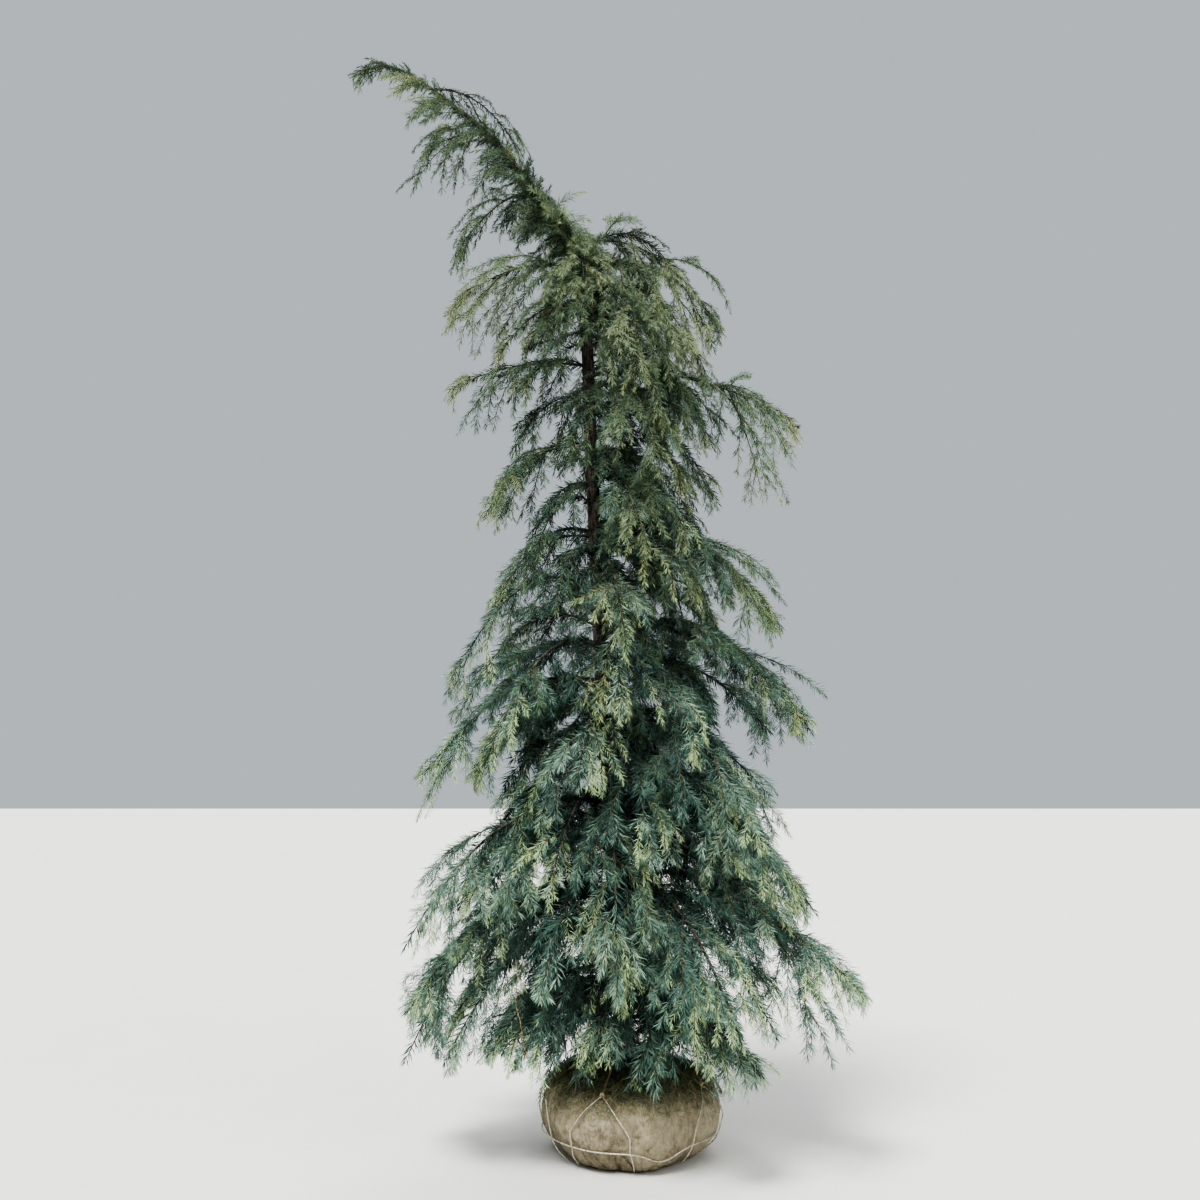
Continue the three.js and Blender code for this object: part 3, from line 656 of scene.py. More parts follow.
def needles(foot, direction, length, width, rng):
    """Needles as folded kites of two faces: widest near the foot, with a sharp tip."""
    roll = unit(rng.normal(size=foot.shape))
    across = unit(np.cross(direction, roll)) * (width / 2)[:, None]
    keel = np.cross(unit(across), direction) * (0.3 * width)[:, None]
    belly = foot + direction * (0.36 * length)[:, None] + keel
    tip = foot + direction * length[:, None] - UP * (0.05 * length)[:, None]
    points = np.stack([foot, belly - across, tip, belly + across], axis=1).reshape(-1, 3)
    start = 4 * np.arange(len(foot))[:, None]
    triangles = np.concatenate([start + [0, 1, 2], start + [0, 2, 3]], axis=1).reshape(-1, 3)
    return points, triangles


def deselect():
    bpy.ops.object.select_all(action="DESELECT")


def finish_piece(piece, material, replaced=()):
    """Gives a piece its material and its body, and hides the CAD nodes that it stands for."""
    piece.data.materials.clear()
    piece.data.materials.append(material)
    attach(piece, RIDES_ON)
    if replaced:
        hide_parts(*replaced)
    return piece


def array_piece(name, points, triangles, smooth=False):
    """An object whose mesh comes from arrays."""
    mesh = bpy.data.meshes.new(name)
    mesh.vertices.add(len(points))
    mesh.vertices.foreach_set("co", points.astype(np.float32).ravel())
    mesh.loops.add(triangles.size)
    mesh.loops.foreach_set("vertex_index", triangles.astype(np.int32).ravel())
    mesh.polygons.add(len(triangles))
    mesh.polygons.foreach_set("loop_start", np.arange(0, triangles.size, 3, dtype=np.int32))
    mesh.update(calc_edges=True)
    mesh.polygons.foreach_set("use_smooth", np.full(len(triangles), smooth))
    piece = bpy.data.objects.new(name, mesh)
    bpy.context.scene.collection.objects.link(piece)
    return piece


def active(name):
    piece = bpy.context.active_object
    piece.name = piece.data.name = name
    return piece


def places_of(piece):
    places = np.empty(3 * len(piece.data.vertices), np.float32)
    piece.data.vertices.foreach_get("co", places)
    return places.reshape(-1, 3).astype(float)


def put_places(piece, places):
    piece.data.vertices.foreach_set("co", places.astype(np.float32).ravel())
    piece.data.update()


def nodes_named(*ends):
    return [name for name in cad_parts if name.endswith(ends)]


# Materials


def linear(code):
    """A colour in Blender's linear values from its web code."""
    parts = [int(code[i:i + 2], 16) / 255 for i in (1, 3, 5)]
    return tuple(part / 12.92 if part <= 0.04045 else ((part + 0.055) / 1.055) ** 2.4 for part in parts)


class Finish:
    """A Principled material whose pattern nodes are added one by one."""

    def __init__(self, name, colour, **sockets):
        self.material = bpy.data.materials.new(name)
        self.material.use_nodes = True
        self.tree = self.material.node_tree
        self.shader = self.tree.nodes["Principled BSDF"]
        self.shader.inputs["Base Color"].default_value = (*colour, 1)
        for socket, value in sockets.items():
            self.shader.inputs[socket.replace("_", " ")].default_value = value

    def add(self, kind, inputs=None, **settings):
        node = self.tree.nodes.new("ShaderNode" + kind)
        for key, value in settings.items():
            setattr(node, key, value)
        for key, value in (inputs or {}).items():
            if isinstance(value, bpy.types.NodeSocket):
                self.tree.links.new(value, node.inputs[key])
            else:
                node.inputs[key].default_value = value
        return node

    def link(self, socket, name):
        self.tree.links.new(socket, self.shader.inputs[name])

    def place(self, scale=(1, 1, 1), uv=False):
        source = self.add("TexCoord").outputs["UV" if uv else "Object"]
        return self.add("Mapping", {"Vector": source, "Scale": scale}).outputs["Vector"]

    def grain(self, vector, scale, detail=4.0, rough=0.55, twist=0.0):
        inputs = {"Vector": vector, "Scale": scale, "Detail": detail, "Roughness": rough, "Distortion": twist}
        return self.add("TexNoise", inputs).outputs["Fac"]

    def ramp(self, fac, stops):
        node = self.add("ValToRGB", {"Fac": fac})
        points = node.color_ramp.elements
        while len(points) < len(stops):
            points.new(1.0)
        for point, (place, colour) in zip(points, stops):
            point.position, point.color = place, (*colour, 1)
        return node.outputs["Color"]

    def mix(self, fac, first, second, blend="MIX"):
        node = self.add("Mix", data_type="RGBA", blend_type=blend)
        for key, value in ((0, fac), (6, first), (7, second)):
            if isinstance(value, bpy.types.NodeSocket):
                self.tree.links.new(value, node.inputs[key])
            else:
                node.inputs[key].default_value = value if key == 0 else (*value, 1)
        return node.outputs[2]

    def combine(self, operation, first, second):
        node = self.add("Math", operation=operation)
        for key, value in enumerate((first, second)):
            if isinstance(value, bpy.types.NodeSocket):
                self.tree.links.new(value, node.inputs[key])
            else:
                node.inputs[key].default_value = value
        return node.outputs[0]

    def plus(self, first, second):
        return self.combine("ADD", first, second)

    def times(self, first, second):
        return self.combine("MULTIPLY", first, second)

    def over_height(self, low, high, **ends):
        """A value that runs from 0 to 1 between two heights above the floor."""
        height = self.add("SeparateXYZ", {"Vector": self.add("TexCoord").outputs["Object"]}).outputs["Z"]
        inputs = {"Value": height, "From Min": low, "From Max": high, **ends}
        return self.add("MapRange", inputs).outputs["Result"]

    def mottled(self, pattern, low, first, high, second):
        """A base colour that runs from one web colour to another over a pattern."""
        self.link(self.ramp(pattern, [(low, linear(first)), (high, linear(second))]), "Base Color")

    def bump(self, height, strength, distance):
        inputs = {"Height": height, "Strength": strength, "Distance": distance}
        self.link(self.add("Bump", inputs).outputs["Normal"], "Normal")


def bark_finish(name, dark, light, ruddy):
    """Grey-brown bark: long cracks up the stem, pale scales between them and a ruddy foot."""
    finish = Finish(name, dark, Roughness=0.9, Specular_IOR_Level=0.25)
    place = finish.place((1, 1, 0.28))
    broad = finish.grain(place, 26, 5, 0.6, 0.4)
    fine = finish.grain(place, 210, 6, 0.65)
    colour = finish.ramp(finish.plus(finish.times(broad, 0.6), finish.times(fine, 0.4)), [
        (0.34, tuple(0.35 * part for part in dark)), (0.46, dark), (0.58, light),
    ])
    foot = finish.over_height(1.1, 0.4)
    finish.link(finish.mix(finish.times(foot, 0.6), colour, ruddy), "Base Color")
    finish.bump(finish.plus(broad, fine), 0.7, 0.003)
    return finish.material


def twig_finish(name, colour, scale, low, high, roughness=0.85):
    """Thin bark of two tones."""
    finish = Finish(name, linear(colour), Roughness=roughness)
    finish.mottled(finish.grain(finish.place(), scale), 0.35, low, 0.65, high)
    return finish.material


def needle_finish(name, colour, sheen):
    """A waxy needle of one colour with a soft bluish bloom."""
    finish = Finish(
        name, colour, Roughness=0.62, Specular_IOR_Level=0.3, Sheen_Weight=sheen, Sheen_Roughness=0.4,
    )
    finish.shader.inputs["Sheen Tint"].default_value = (*linear("#c9d8cf"), 1)
    return finish.material


# Settings a user would change


class CedarStemSettings(bpy.types.PropertyGroup):
    """Sizes and colours of the trunk, leader and boughs."""

    foot_radius: FloatProperty(
        name="Trunk Foot", description="Half thickness of the trunk above its root flare", default=0.035,
        unit="LENGTH",
    )
    top_radius: FloatProperty(
        name="Trunk Top", description="Half thickness of the trunk at the fork", default=0.022, unit="LENGTH",
    )
    relief: FloatProperty(
        name="Bark Relief", description="Depth of the cracks and scales of the bark", default=0.0032,
        unit="LENGTH",
    )
    dark: FloatVectorProperty(
        name="Bark", description="Colour of the bark in its hollows", subtype="COLOR",
        default=linear("#3a332d"),
    )
    light: FloatVectorProperty(
        name="Bark Scales", description="Colour of the weathered scales", subtype="COLOR",
        default=linear("#776e64"),
    )
    ruddy: FloatVectorProperty(
        name="Bark at the Foot", description="Ruddy colour of the lowest bark", subtype="COLOR",
        default=linear("#725a4c"),
    )


class CedarCrownSettings(bpy.types.PropertyGroup):
    """Density of the crown, and the size of its needles."""

    seed: IntProperty(name="Seed", description="Start of the crown's random draws", default=41)
    spray_spacing: FloatProperty(
        name="Spray Spacing", description="Room for each added spray along a bough", default=0.17,
        unit="LENGTH",
    )
    twig_spacing: FloatProperty(
        name="Twig Spacing", description="Room for each short twig along a spray", default=0.070,
        unit="LENGTH",
    )
    low_length: FloatProperty(
        name="Low Needles", description="Length of the needles of the lower crown", default=0.047,
        unit="LENGTH",
    )
    high_length: FloatProperty(
        name="High Needles", description="Length of the needles of the upper crown", default=0.036,
        unit="LENGTH",
    )
    leader_length: FloatProperty(
        name="Leader Needles", description="Length of the needles of the leader", default=0.023,
        unit="LENGTH",
    )
    low_width: FloatProperty(
        name="Low Needle Width", description="Width of the lower needles, about twice life", default=0.0029,
        unit="LENGTH",
    )
    high_width: FloatProperty(
        name="High Needle Width", description="Width of the upper needles, about twice life", default=0.0026,
        unit="LENGTH",
    )
    per_metre: IntProperty(
        name="Needles per Metre", description="Needles on a metre of twig", default=312,
    )


# Needle colours: the dark tones are painted shade deep in the crown; the high tones lean olive, partly
# painted sunlight
NEEDLE_TONES = {
    "low": {
        "tip": "#bed2a3", "silver": "#a9bfac", "light": "#829d8c", "mid": "#607e72", "deep": "#466459",
        "shade": "#1d342d",
    },
    "high": {
        "tip": "#a2ab7f", "silver": "#98a587", "light": "#809273", "mid": "#637c61", "deep": "#435b46",
        "shade": "#1c2d24",
    },
}
# Tone steps, dark to pale: the pale steps are painted light on outer sprays, with the needles' own bluish
# bloom
TONE_STEPS = (("shade", 0.14), ("deep", 0.34), ("mid", 0.55), ("light", 0.76), ("silver", 9.0))
NEEDLE_SHEEN = {"low": 0.25, "high": 0.12}

# How far needles stand off their twig in degrees: mean and scatter, on tails and on sprays
NEEDLE_SPREAD, WHORL_SPREAD = (44, 8), (48, 10)


class CedarBallSettings(bpy.types.PropertyGroup):
    """Sizes and colours of the burlap, the wires and the ropes."""

    burlap: FloatVectorProperty(
        name="Burlap", description="Colour of the clean burlap", subtype="COLOR", default=linear("#c2b79c"),
    )
    # The stain colour also paints shade into the burlap's wrinkles
    stain_and_shade: FloatVectorProperty(
        name="Stains", description="Colour of the damp and soiled burlap", subtype="COLOR",
        default=linear("#7a705a"),
    )
    fold: FloatProperty(
        name="Fold Depth", description="Depth of the folds that gather towards the trunk", default=0.020,
        unit="LENGTH",
    )
    wire: FloatProperty(
        name="Wire", description="Thickness of the basket's wire", default=0.0052, unit="LENGTH",
    )
    rope: FloatProperty(
        name="Rope", description="Thickness of the jute rope", default=0.0085, unit="LENGTH",
    )


class CedarStageSettings(bpy.types.PropertyGroup):
    """Floor, light and camera."""

    floor: FloatVectorProperty(
        name="Floor", description="Colour of the plain floor", subtype="COLOR", default=linear("#d9d7d2"),
    )
    camera_height: FloatProperty(
        name="Camera Height", description="Height of the lens above the floor", default=1.57, unit="LENGTH",
    )
    camera_pitch: FloatProperty(
        name="Camera Pitch", description="How far the camera looks up", default=math.radians(7.3),
        unit="ROTATION",
    )
    key: FloatProperty(name="Key Light", description="Strength of the broad light from above", default=3.9)
    sky: FloatProperty(name="Sky Light", description="Strength of the light from all round", default=0.48)


# Operators


def bark_relief(turn, run):
    """How far the bark stands out at a turn and a run up the stem: rough scales, and cracks between them."""
    x, y = math.cos(turn), math.sin(turn)
    scales = noise.fractal((9 * x + 2, 9 * y, 11 * run), 0.8, 2.1, 5)
    cracks = max(0.0, 0.22 - abs(noise.noise((5 * x, 5 * y + 7, 3.2 * run))))
    return scales - 1.3 * cracks


def stem_piece(name, shares, radius_at, sides, rows, relief):
    """A limb of the stem: a cylinder in rings, laid round the stem's line and given the bark's relief."""
    deselect()
    bpy.ops.mesh.primitive_cylinder_add(vertices=sides, radius=1, depth=1, end_fill_type="TRIFAN")
    piece = active(name)
    bpy.ops.object.mode_set(mode="EDIT")
    bpy.ops.mesh.select_mode(type="EDGE")
    bpy.ops.mesh.select_all(action="DESELECT")
    bpy.ops.object.mode_set(mode="OBJECT")
    ends = places_of(piece)[:, 2]
    for edge in piece.data.edges:
        edge.select = bool(abs(ends[edge.vertices[0]] - ends[edge.vertices[1]]) > 0.5)
    bpy.ops.object.mode_set(mode="EDIT")
    bpy.ops.mesh.subdivide_edgering(number_cuts=rows - 1, interpolation="LINEAR")
    bpy.ops.object.mode_set(mode="OBJECT")
    places = places_of(piece)
    part = shares[0] + (shares[1] - shares[0]) * (places[:, 2] + 0.5)
    turn = np.arctan2(places[:, 0], places[:, 1])
    middle = stem_at(part)
    along = unit(stem_at(np.minimum(part + 5e-4, 1)) - stem_at(np.maximum(part - 5e-4, 0)))
    across = unit(np.cross(along, FRONT))
    ridge = np.cross(across, along)
    out = np.hypot(places[:, 0], places[:, 1])
    rough = np.array([bark_relief(t, s) for t, s in zip(turn, part * STEM_LENGTH)])
    size = radius_at(part, turn, middle[:, 2]) * out + relief * rough * np.minimum(1, out)
    outward = np.sin(turn)[:, None] * across + np.cos(turn)[:, None] * ridge
    put_places(piece, middle + size[:, None] * outward)
    deselect()
    piece.select_set(True)
    bpy.context.view_layer.objects.active = piece
    bpy.ops.object.shade_smooth()
    return piece


class CEDAR_OT_trunk(bpy.types.Operator):
    """Build the trunk with its root flare, and the leader that nods over"""

    bl_idname = "cedar.trunk"
    bl_label = "Trunk and Leader"

    def execute(self, context):
        stem = context.scene.cedar_stem
        bark = bark_finish("bark", stem.dark, stem.light, stem.ruddy)

        def trunk_radius(part, turn, height):
            taper = stem.foot_radius + (stem.top_radius - stem.foot_radius) * part / TRUNK_PART
            flare = 0.020 * np.exp(-np.maximum(0, height - GROUND) / 0.070)
            return taper + flare * (1 + 0.35 * np.cos(5 * turn))

        def leader_radius(part, turn, height):
            share = np.maximum(0, part - TRUNK_PART) / (1 - TRUNK_PART)
            joint = np.maximum(0, 1 - share / 0.05)
            bare = 0.0195 - 0.0150 * np.minimum(1, share / LEADER_BARE) ** 0.8
            return bare - 0.0030 * np.clip((share - LEADER_BARE) / (1 - LEADER_BARE), 0, 1) + 0.0035 * joint

        trunk = stem_piece("trunk_bark", (0.0002, TRUNK_PART + 0.004), trunk_radius, 44, 620, stem.relief)
        places = places_of(trunk)
        places[:, 2] = np.maximum(places[:, 2], GROUND + 0.0003)
        put_places(trunk, places)
        finish_piece(trunk, bark, ["trunk"])
        shares = (TRUNK_PART - 0.002, 0.9995)
        leader = stem_piece("leader_bark", shares, leader_radius, 20, 300, 0.5 * stem.relief)
        finish_piece(leader, bark, ["leader"])
        return {"FINISHED"}


def bough_mesh(boughs):
    """Tapering limbs with a collar at the trunk and a slightly uneven thickness."""
    share = np.linspace(0, 1, 31)
    lines = np.stack([bough.at(share) for bough in boughs])
    thick = np.array([bough.thick * (0.7 if bough.inner else 1) for bough in boughs])
    radii = thick[:, None] * (1 - 0.82 * share) * (1 + 0.6 * np.exp(-share * 16))
    wave = np.array([[noise.noise((9.1 * i, 30 * s, 0.0)) for s in share] for i in range(len(boughs))])
    return tubes(lines, radii * (1 + 0.14 * wave), 8)


def twig_mesh(lines, thick, taper):
    """Thin three-sided twigs that taper to their tips."""
    return tubes(lines, thick[:, None] * (1 - taper * np.linspace(0, 1, lines.shape[1])), 3)


def dead_twig_mesh(rng):
    """A bare hanging twig with short spurs where its side twigs broke off."""
    part = np.linspace(0, len(DEAD_TWIG) - 1, 31)
    line = np.stack([np.interp(part, range(len(DEAD_TWIG)), DEAD_TWIG[:, i]) for i in range(3)], axis=1)
    line[1:, :2] += rng.normal(0, 0.0016, (30, 2))
    away = rng.uniform(-0.017, 0.017, (14, 3)) - [0, 0, 0.012]
    spurs = line[2:30:2, None] + np.linspace(0, 1, 3)[:, None] * away[:, None]
    return strand_mesh([line, *spurs], 0.0016, 5)


class CEDAR_OT_boughs(bpy.types.Operator):
    """Grow the boughs from the trunk, and the twigs that carry the needles"""

    bl_idname = "cedar.boughs"
    bl_label = "Boughs and Twigs"

    def execute(self, context):
        stem = context.scene.cedar_stem
        boughs, sprays, tails, leader_twigs, tufts = crown(context.scene.cedar_crown)
        bark = bark_finish("bough_bark", stem.dark, stem.light, stem.dark)
        limbs = array_piece("boughs_bark", *bough_mesh(limbs_of(boughs)), True)
        finish_piece(limbs, bark, nodes_named("_bough"))
        old = twig_finish("twig_bark", "#6b5b48", 60, "#363127", "#6f6349")
        young = twig_finish("young_twig", "#7d8057", 45, "#5c5f3e", "#97986a", 0.7)
        coarse = sprays.lines[:, ::2]
        piece = array_piece("spray_twigs", *twig_mesh(coarse, sprays.thick, 0.8), True)
        finish_piece(piece, old)
        for name, shoots in (("fine_twigs", tails), ("leader_twigs", leader_twigs), ("top_twigs", tufts)):
            piece = array_piece(name, *twig_mesh(shoots.lines, shoots.thick, 0.75))
            finish_piece(piece, young)
        dead = twig_finish("dead_twig", "#a08c68", 70, "#7c6a4c", "#b7a27c")
        piece = array_piece("dead_twig", *dead_twig_mesh(np.random.default_rng(5)), True)
        finish_piece(piece, dead)
        return {"FINISHED"}


def needle_rows(shoots, per_metre, length, width, rng, whorled=False):
    """Needles along shoots: where each stands and points, its size, width, tone, if fresh, and if low."""
    count = np.maximum(4, (shoots.length * per_metre * (1 - 0.45 * shoots.inside)).astype(int))
    index, share = spaced(count, rng)
    if whorled:
        knots = np.maximum(2, np.round(shoots.length / 0.012))[index]
        knotted = (np.floor(share * knots) + 0.5) / knots
        share = np.where(share < 0.6, knotted, share)
    foot, along = on_lines(shoots.lines[index], share)
    turn = 2 * np.pi * rng.random(len(index))
    ending = np.clip(1 - (1 - share) * shoots.length[index] / 0.05, 0, 1)
    spread = WHORL_SPREAD if whorled else NEEDLE_SPREAD
    splay = np.radians(rng.normal(*spread, len(index)) - 24 * ending)
    direction = unit(leaning(along, splay, np.cos(turn), np.sin(turn)) - 0.08 * UP)
    inside, young, tier = shoots.inside[index], shoots.young[index], shoots.tier[index]
    size = length[tier] * rng.uniform(0.72, 1.12, len(index)) * (1 - 0.45 * ending) * (1 + 0.25 * inside)
    # Painted light: needles that point up get a lighter tone, those that point down a darker one
    tone = shoots.shade[index] + rng.normal(0, 0.03, len(index)) + 0.1 * np.sin(turn)
    zone = 0.06 + 0.16 * young if whorled else 0.03 + 0.06 * young
    fresh = (1 - share) * shoots.length[index] < zone
    fresh &= (young > 0.6) & (shoots.shade[index] > 0.4) & ((tier < len(TIERS)) | (young == 1))
    size = np.where(fresh, 0.68 * size, size)
    wide = width[tier] * np.where(fresh, 0.9, 1 + 0.9 * inside)
    low = rng.random(len(shoots)) < LOW_SHARE[shoots.tier]
    return foot, direction, size, wide, tone, fresh, low[index]


def crown_needles(settings, rng):
    """The needles of the whole crown, as needle_rows gives them, without those outside the crown's depth."""
    boughs, sprays, tails, leader_twigs, tufts = crown(settings)
    up_tree = np.clip((np.arange(len(TIERS) + 1) - LOW_TIERS + 1) / 3, 0, 1)
    length = settings.low_length + (settings.high_length - settings.low_length) * up_tree
    length[-1] = settings.leader_length
    width = settings.low_width + (settings.high_width - settings.low_width) * up_tree
    width[-1] = 0.9 * settings.high_width
    per_metre = settings.per_metre
    sets = [
        needle_rows(tails, 1.1 * per_metre, length, width, rng),
        needle_rows(sprays, 1.05 * per_metre, 1.1 * length, 0.9 * width, rng, whorled=True),
        needle_rows(leader_twigs, 2.2 * per_metre, length, width, rng),
        needle_rows(tufts, 1.6 * per_metre, 1.4 * length, width, rng),
    ]
    limbs = limbs_of(boughs)
    lines = np.stack([bough.at(np.linspace(0.06, 1, 21)) for bough in limbs])
    tier, bare = np.array([bough.tier for bough in limbs]), np.zeros(len(limbs))
    # Painted shade: needles on the boughs themselves get dark tones deep in the crown
    old = Shoots(lines, bare, tier, rng.uniform(0.05, 0.4, len(limbs)), bare)
    stem = np.linspace(0, 1, 61)
    sleeve = Shoots(
        np.stack([leader_at(0.6 * stem), leader_at(0.55 + 0.445 * stem)]), np.zeros(2),
        np.array([len(TIERS) - 1, len(TIERS)]), np.array([0.4, 0.42]), np.array([0.0, 1.0]),
    )
    sets.append(needle_rows(sleeve, 4 * per_metre, 1.15 * length, width, rng))
    sets.append(needle_rows(old, 1.2 * per_metre, 1.25 * length, 1.6 * width, rng, whorled=True))
    foot, direction, size, *others = (np.concatenate(row) for row in zip(*sets))
    depth = foot[:, 1] + direction[:, 1] * size
    kept = (depth > DEPTH[0]) & (depth < DEPTH[1])
    return [row[kept] for row in (foot, direction, size, *others)]


class CEDAR_OT_needles(bpy.types.Operator):
    """Clothe every twig in needles, dealt out by spray to pieces of one colour each"""

    bl_idname = "cedar.needles"
    bl_label = "Needles"

    def execute(self, context):
        settings = context.scene.cedar_crown
        rng = np.random.default_rng(settings.seed + 1)
        foot, direction, size, wide, tone, fresh, low = crown_needles(settings, rng)
        step = np.searchsorted([limit for _, limit in TONE_STEPS], tone)
        step[fresh] = len(TONE_STEPS)
        low_nodes = tuple(f"tier_{i + 1}_" for i in range(LOW_TIERS))
        for zone, chosen in (("low", low), ("high", ~low)):
            wanted = zone == "low"
            replaced = [node for node in nodes_named("_foliage") if node.startswith(low_nodes) == wanted]
            for number, tone_name in enumerate([*(name for name, _ in TONE_STEPS), "tip"]):
                rows = np.flatnonzero(chosen & (step == number))
                parts = max(1, math.ceil(2 * len(rows) / LARGEST_PIECE))
                colour = linear(NEEDLE_TONES[zone][tone_name])
                finish = needle_finish(f"needle_{zone}_{tone_name}", colour, NEEDLE_SHEEN[zone])
                for part, picked in enumerate(np.array_split(rows, parts)):
                    name = f"needles_{zone}_{tone_name}" + (f"_{part + 1}" if parts > 1 else "")
                    mesh = needles(foot[picked], direction[picked], size[picked], wide[picked], rng)
                    finish_piece(array_piece(name, *mesh), finish, replaced)
        return {"FINISHED"}


def ball_radius(turn):
    return 1 + sum(size * np.sin(count * turn + start) for count, size, start in BALL_LUMPS)


def on_ball(heading, height, clearance):
    """A point just outside the ball, from a heading in degrees, a height and a clearance in millimetres."""
    turn = math.radians(heading)
    outline = BALL_OUTLINE[1:-1]
    radius = np.interp(height * MM, outline[:, 1], outline[:, 0]) * ball_radius(turn) + clearance * MM
    return np.array([radius * math.cos(turn), radius * math.sin(turn), height * MM])


def ball_surface(turn, run):
    """Points of the burlap from a turn and a share of the way up the ball's outline."""
    steps = np.linalg.norm(np.diff(BALL_OUTLINE, axis=0), axis=1)
    lengths = np.concatenate([[0], np.cumsum(steps)]) / steps.sum()
    radius = np.interp(run, lengths, BALL_OUTLINE[:, 0])
    height = np.interp(run, lengths, BALL_OUTLINE[:, 1])
    return radius * ball_radius(turn), height


def burlap_finish(ball):
    """Weathered burlap: woven threads, wrinkles darkened with painted shade, stains, a damp foot and a mossy
    top.
    """
    finish = Finish("burlap_cloth", ball.burlap, Roughness=0.95, Specular_IOR_Level=0.15, Sheen_Weight=0.1)
    place, flat = finish.place(), finish.place(uv=True)
    broad, spots = finish.grain(place, 4.5, 5, 0.6), finish.grain(place, 34, 6, 0.7)
    fibre = finish.grain(finish.place((1, 1, 0.35)), 150, 4, 0.7, 0.8)
    mottle = finish.plus(finish.times(broad, 0.5), finish.times(spots, 0.26))
    soiled_and_shaded = finish.ramp(finish.plus(mottle, finish.times(fibre, 0.24)), [
        (0.40, ball.stain_and_shade), (0.48, tuple(0.72 * part for part in ball.burlap)), (0.56, ball.burlap),
    ])
    wave = {"Vector": flat, "Scale": 105, "Distortion": 3.5, "Detail": 2, "Detail Scale": 2}
    threads = (finish.add("TexWave", wave, bands_direction=way).outputs["Fac"] for way in ("X", "Y"))
    weave = finish.plus(*threads)
    soiled_and_shaded = finish.mix(finish.times(finish.over_height(0.11, 0.0), 0.4), soiled_and_shaded, ball.stain_and_shade)
    mossy = finish.times(finish.over_height(0.25, 0.32, **{"To Max": 0.7}), finish.times(spots, 1.5))
    soiled_and_shaded = finish.mix(mossy, soiled_and_shaded, linear("#7c7e63"))
    black, white = (0, 0, 0), (1, 1, 1)
    lines = []
    for stretch, scale in (((1, 1, 0.5), 8), ((0.6, 1, 1), 15)):
        fold = finish.grain(finish.place(stretch), scale, 3, 0.5, 1.4)
        lines.append(finish.ramp(fold, [(0.46, black), (0.5, white), (0.54, black)]))
    wrinkles = finish.plus(lines[0], finish.times(lines[1], 0.6))
    # Painted shade: the stain colour laid along the wrinkles' crease lines
    soiled_and_shaded = finish.mix(finish.times(wrinkles, 0.38), soiled_and_shaded, ball.stain_and_shade)
    gaps = finish.ramp(finish.times(weave, 0.5), [(0.1, (0.72, 0.70, 0.66)), (0.6, white)])
    finish.link(finish.mix(1.0, soiled_and_shaded, gaps, "MULTIPLY"), "Base Color")
    rise = finish.plus(finish.plus(weave, finish.times(spots, 1.5)), finish.times(wrinkles, -4.0))
    finish.bump(rise, 0.6, 0.0016)
    return finish.material


class CEDAR_OT_root_ball(bpy.types.Operator):
    """Wrap the root ball in burlap, gathered in folds towards the trunk"""

    bl_idname = "cedar.root_ball"
    bl_label = "Root Ball"

    def execute(self, context):
        ball = context.scene.cedar_ball
        deselect()
        bpy.ops.mesh.primitive_uv_sphere_add(segments=320, ring_count=150, radius=1)
        piece = active("burlap")
        places = places_of(piece)
        turn = np.arctan2(places[:, 1], places[:, 0])
        run = np.arccos(np.clip(-places[:, 2], -1, 1)) / math.pi
        radius, height = ball_surface(turn, run)
        rough = np.array([burlap_relief(t, r) for t, r in zip(turn, run)])
        depth = (ball.fold * rough - 0.003) * np.clip(radius / 0.12, 0, 1)
        depth = np.minimum(depth, OUTWARD_FOLD)
        level = np.clip((run - 0.62) / 0.2, 0, 1)
        radius = radius + depth * (1 - 0.7 * level)
        height = np.clip(height + depth * level, 0.0, GROUND - 0.0004)
        put_places(piece, np.stack([radius * np.cos(turn), radius * np.sin(turn), height], axis=1))
        bpy.ops.object.shade_smooth()
        layer = piece.data.uv_layers.active.data
        spread = np.empty(2 * len(layer), np.float32)
        layer.foreach_get("uv", spread)
        layer.foreach_set("uv", (spread.reshape(-1, 2) * BALL_SPREAD).astype(np.float32).ravel())
        finish_piece(piece, burlap_finish(ball), ["root_ball"])
        return {"FINISHED"}


def burlap_relief(turn, run):
    """How far the burlap stands out at a turn and a share of the way up: dents, creases, and top folds."""
    x, y, z = math.cos(turn), math.sin(turn), 1.7 * run
    dents = noise.fractal((1.9 * x, 1.9 * y, 1.9 * z + 5), 0.8, 2.0, 3) - 0.3
    slant = noise.noise((4.4 * x + 2.2 * z, 4.4 * y - 1.8 * z, 1.8 * z + 9))
    crease = max(0.0, 1 - abs(slant) / 0.07)
    steep = noise.noise((7.5 * x + 3, 7.5 * y - 2.6 * z, 2.0 * z))
    pleat = max(0.0, 1 - abs(steep) / 0.09) * min(1.0, 2.4 * run)
    gather = abs(noise.noise((9 * x, 9 * y, 0.7 * z))) * max(0.0, run - 0.42) * 3.4
    foot = max(0.0, 0.24 - run) * (3.0 + 9.0 * noise.noise((3.2 * x, 3.2 * y, 4.0)))
    return 1.1 * dents - 0.55 * crease - 0.5 * pleat - gather - foot


